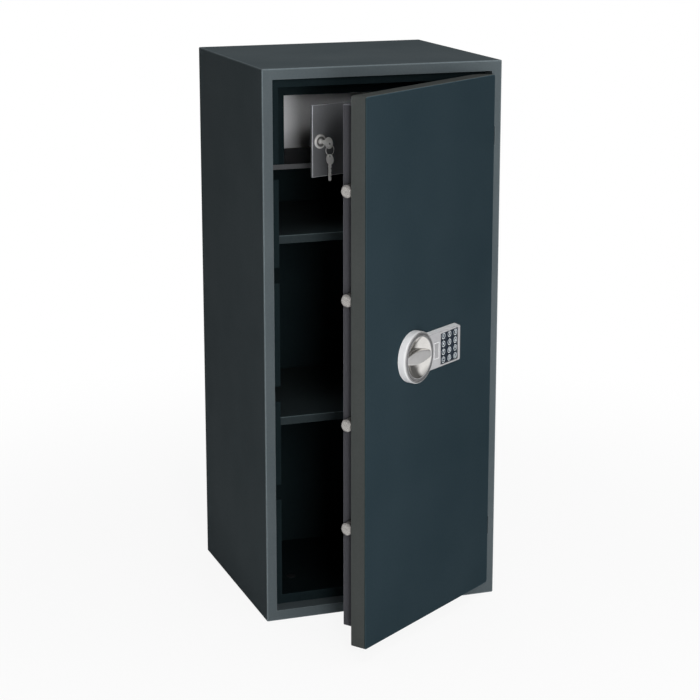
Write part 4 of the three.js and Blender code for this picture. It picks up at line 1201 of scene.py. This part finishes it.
pale = Finish.surface(
    "pale_floor", {"Base Color": (0.8, 0.8, 0.8, 1.0), "Roughness": 0.9, "Specular IOR Level": 0.0},
)
floor_data.materials.append(pale.material)
seen, mirrored, through = ray_kinds(pale)
place = pale.place()
heading = pale.node("ShaderNodeVectorMath", {"operation": "NORMALIZE"}, {0: place})
far = smooth_step(pale, pale.length(place), 0.5, 1.7)
glow = pale.node(
    "ShaderNodeEmission", {},
    {"Color": (1.0, 1.0, 1.0, 1.0), "Strength": 1.0 - mirrored * dark_flank(pale, heading)},
)
bare = Value(pale, pale.shader.outputs[0])
share = (seen + mirrored + through) * (far * 0.1 + 0.9)
blend = pale.node("ShaderNodeMixShader", {}, {0: share, 1: bare, 2: glow})
pale.tree.links.new(blend.socket, pale.tree.nodes["Material Output"].inputs["Surface"])


def soft_lamp(name, place, aim, size, power):
    data = bpy.data.lights.new(name, "AREA")
    data.shape = "RECTANGLE"
    data.size, data.size_y = size
    data.energy = power
    lamp = added(name, data)
    lamp.visible_glossy = False
    lamp.location = place
    lamp.rotation_euler = (Vector(aim) - Vector(place)).to_track_quat("-Z", "Y").to_euler()


soft_lamp("front_lamp", (0.4, -4.2, 1.15), (0.0, 0.0, 0.55), (3.2, 2.4), 112.0)
soft_lamp("gap_lamp", (-0.52, -2.4, 0.9), (-0.13, 0.0, 0.6), (0.4, 1.6), 27.0)
soft_lamp("top_lamp", (0.2, -0.4, 3.6), (0.0, 0.0, 0.5), (2.4, 2.4), 52.0)
soft_lamp("rear_lamp", (0.6, 4.2, 1.4), (0.0, 0.0, 0.5), (2.6, 2.0), 45.0)
bpy.context.scene.world = bpy.data.worlds.new("surround")
surround = Finish(bpy.context.scene.world, "Background", {"Color": (1.0, 1.0, 1.0, 1.0)})
seen, mirrored, through = ray_kinds(surround)
heading = surround.node("ShaderNodeTexCoord", {}, {}, "Generated")
height = surround.node("ShaderNodeSeparateXYZ", {}, {0: heading}, "Z")
ceiling = smooth_step(surround, height, 0.2, 0.75, 1.0, 0.4)
mirrored_light = (mirrored + through) * ceiling * (1.0 - dark_flank(surround, heading))
surround.give("Strength", seen + mirrored_light + (1 - seen - mirrored - through) * dim_light)

camera_data = bpy.data.cameras.new("camera")
camera_data.lens = 102.36
camera_data.sensor_width = 36.0
camera_data.shift_y = -0.04
camera = added("camera", camera_data)
camera.location = (-1.2172, -3.4337, 1.373)
camera.rotation_euler = (radians(76.462), 0.0, radians(-19.639))
bpy.context.scene.camera = camera
bpy.context.scene.view_settings.view_transform = "Standard"
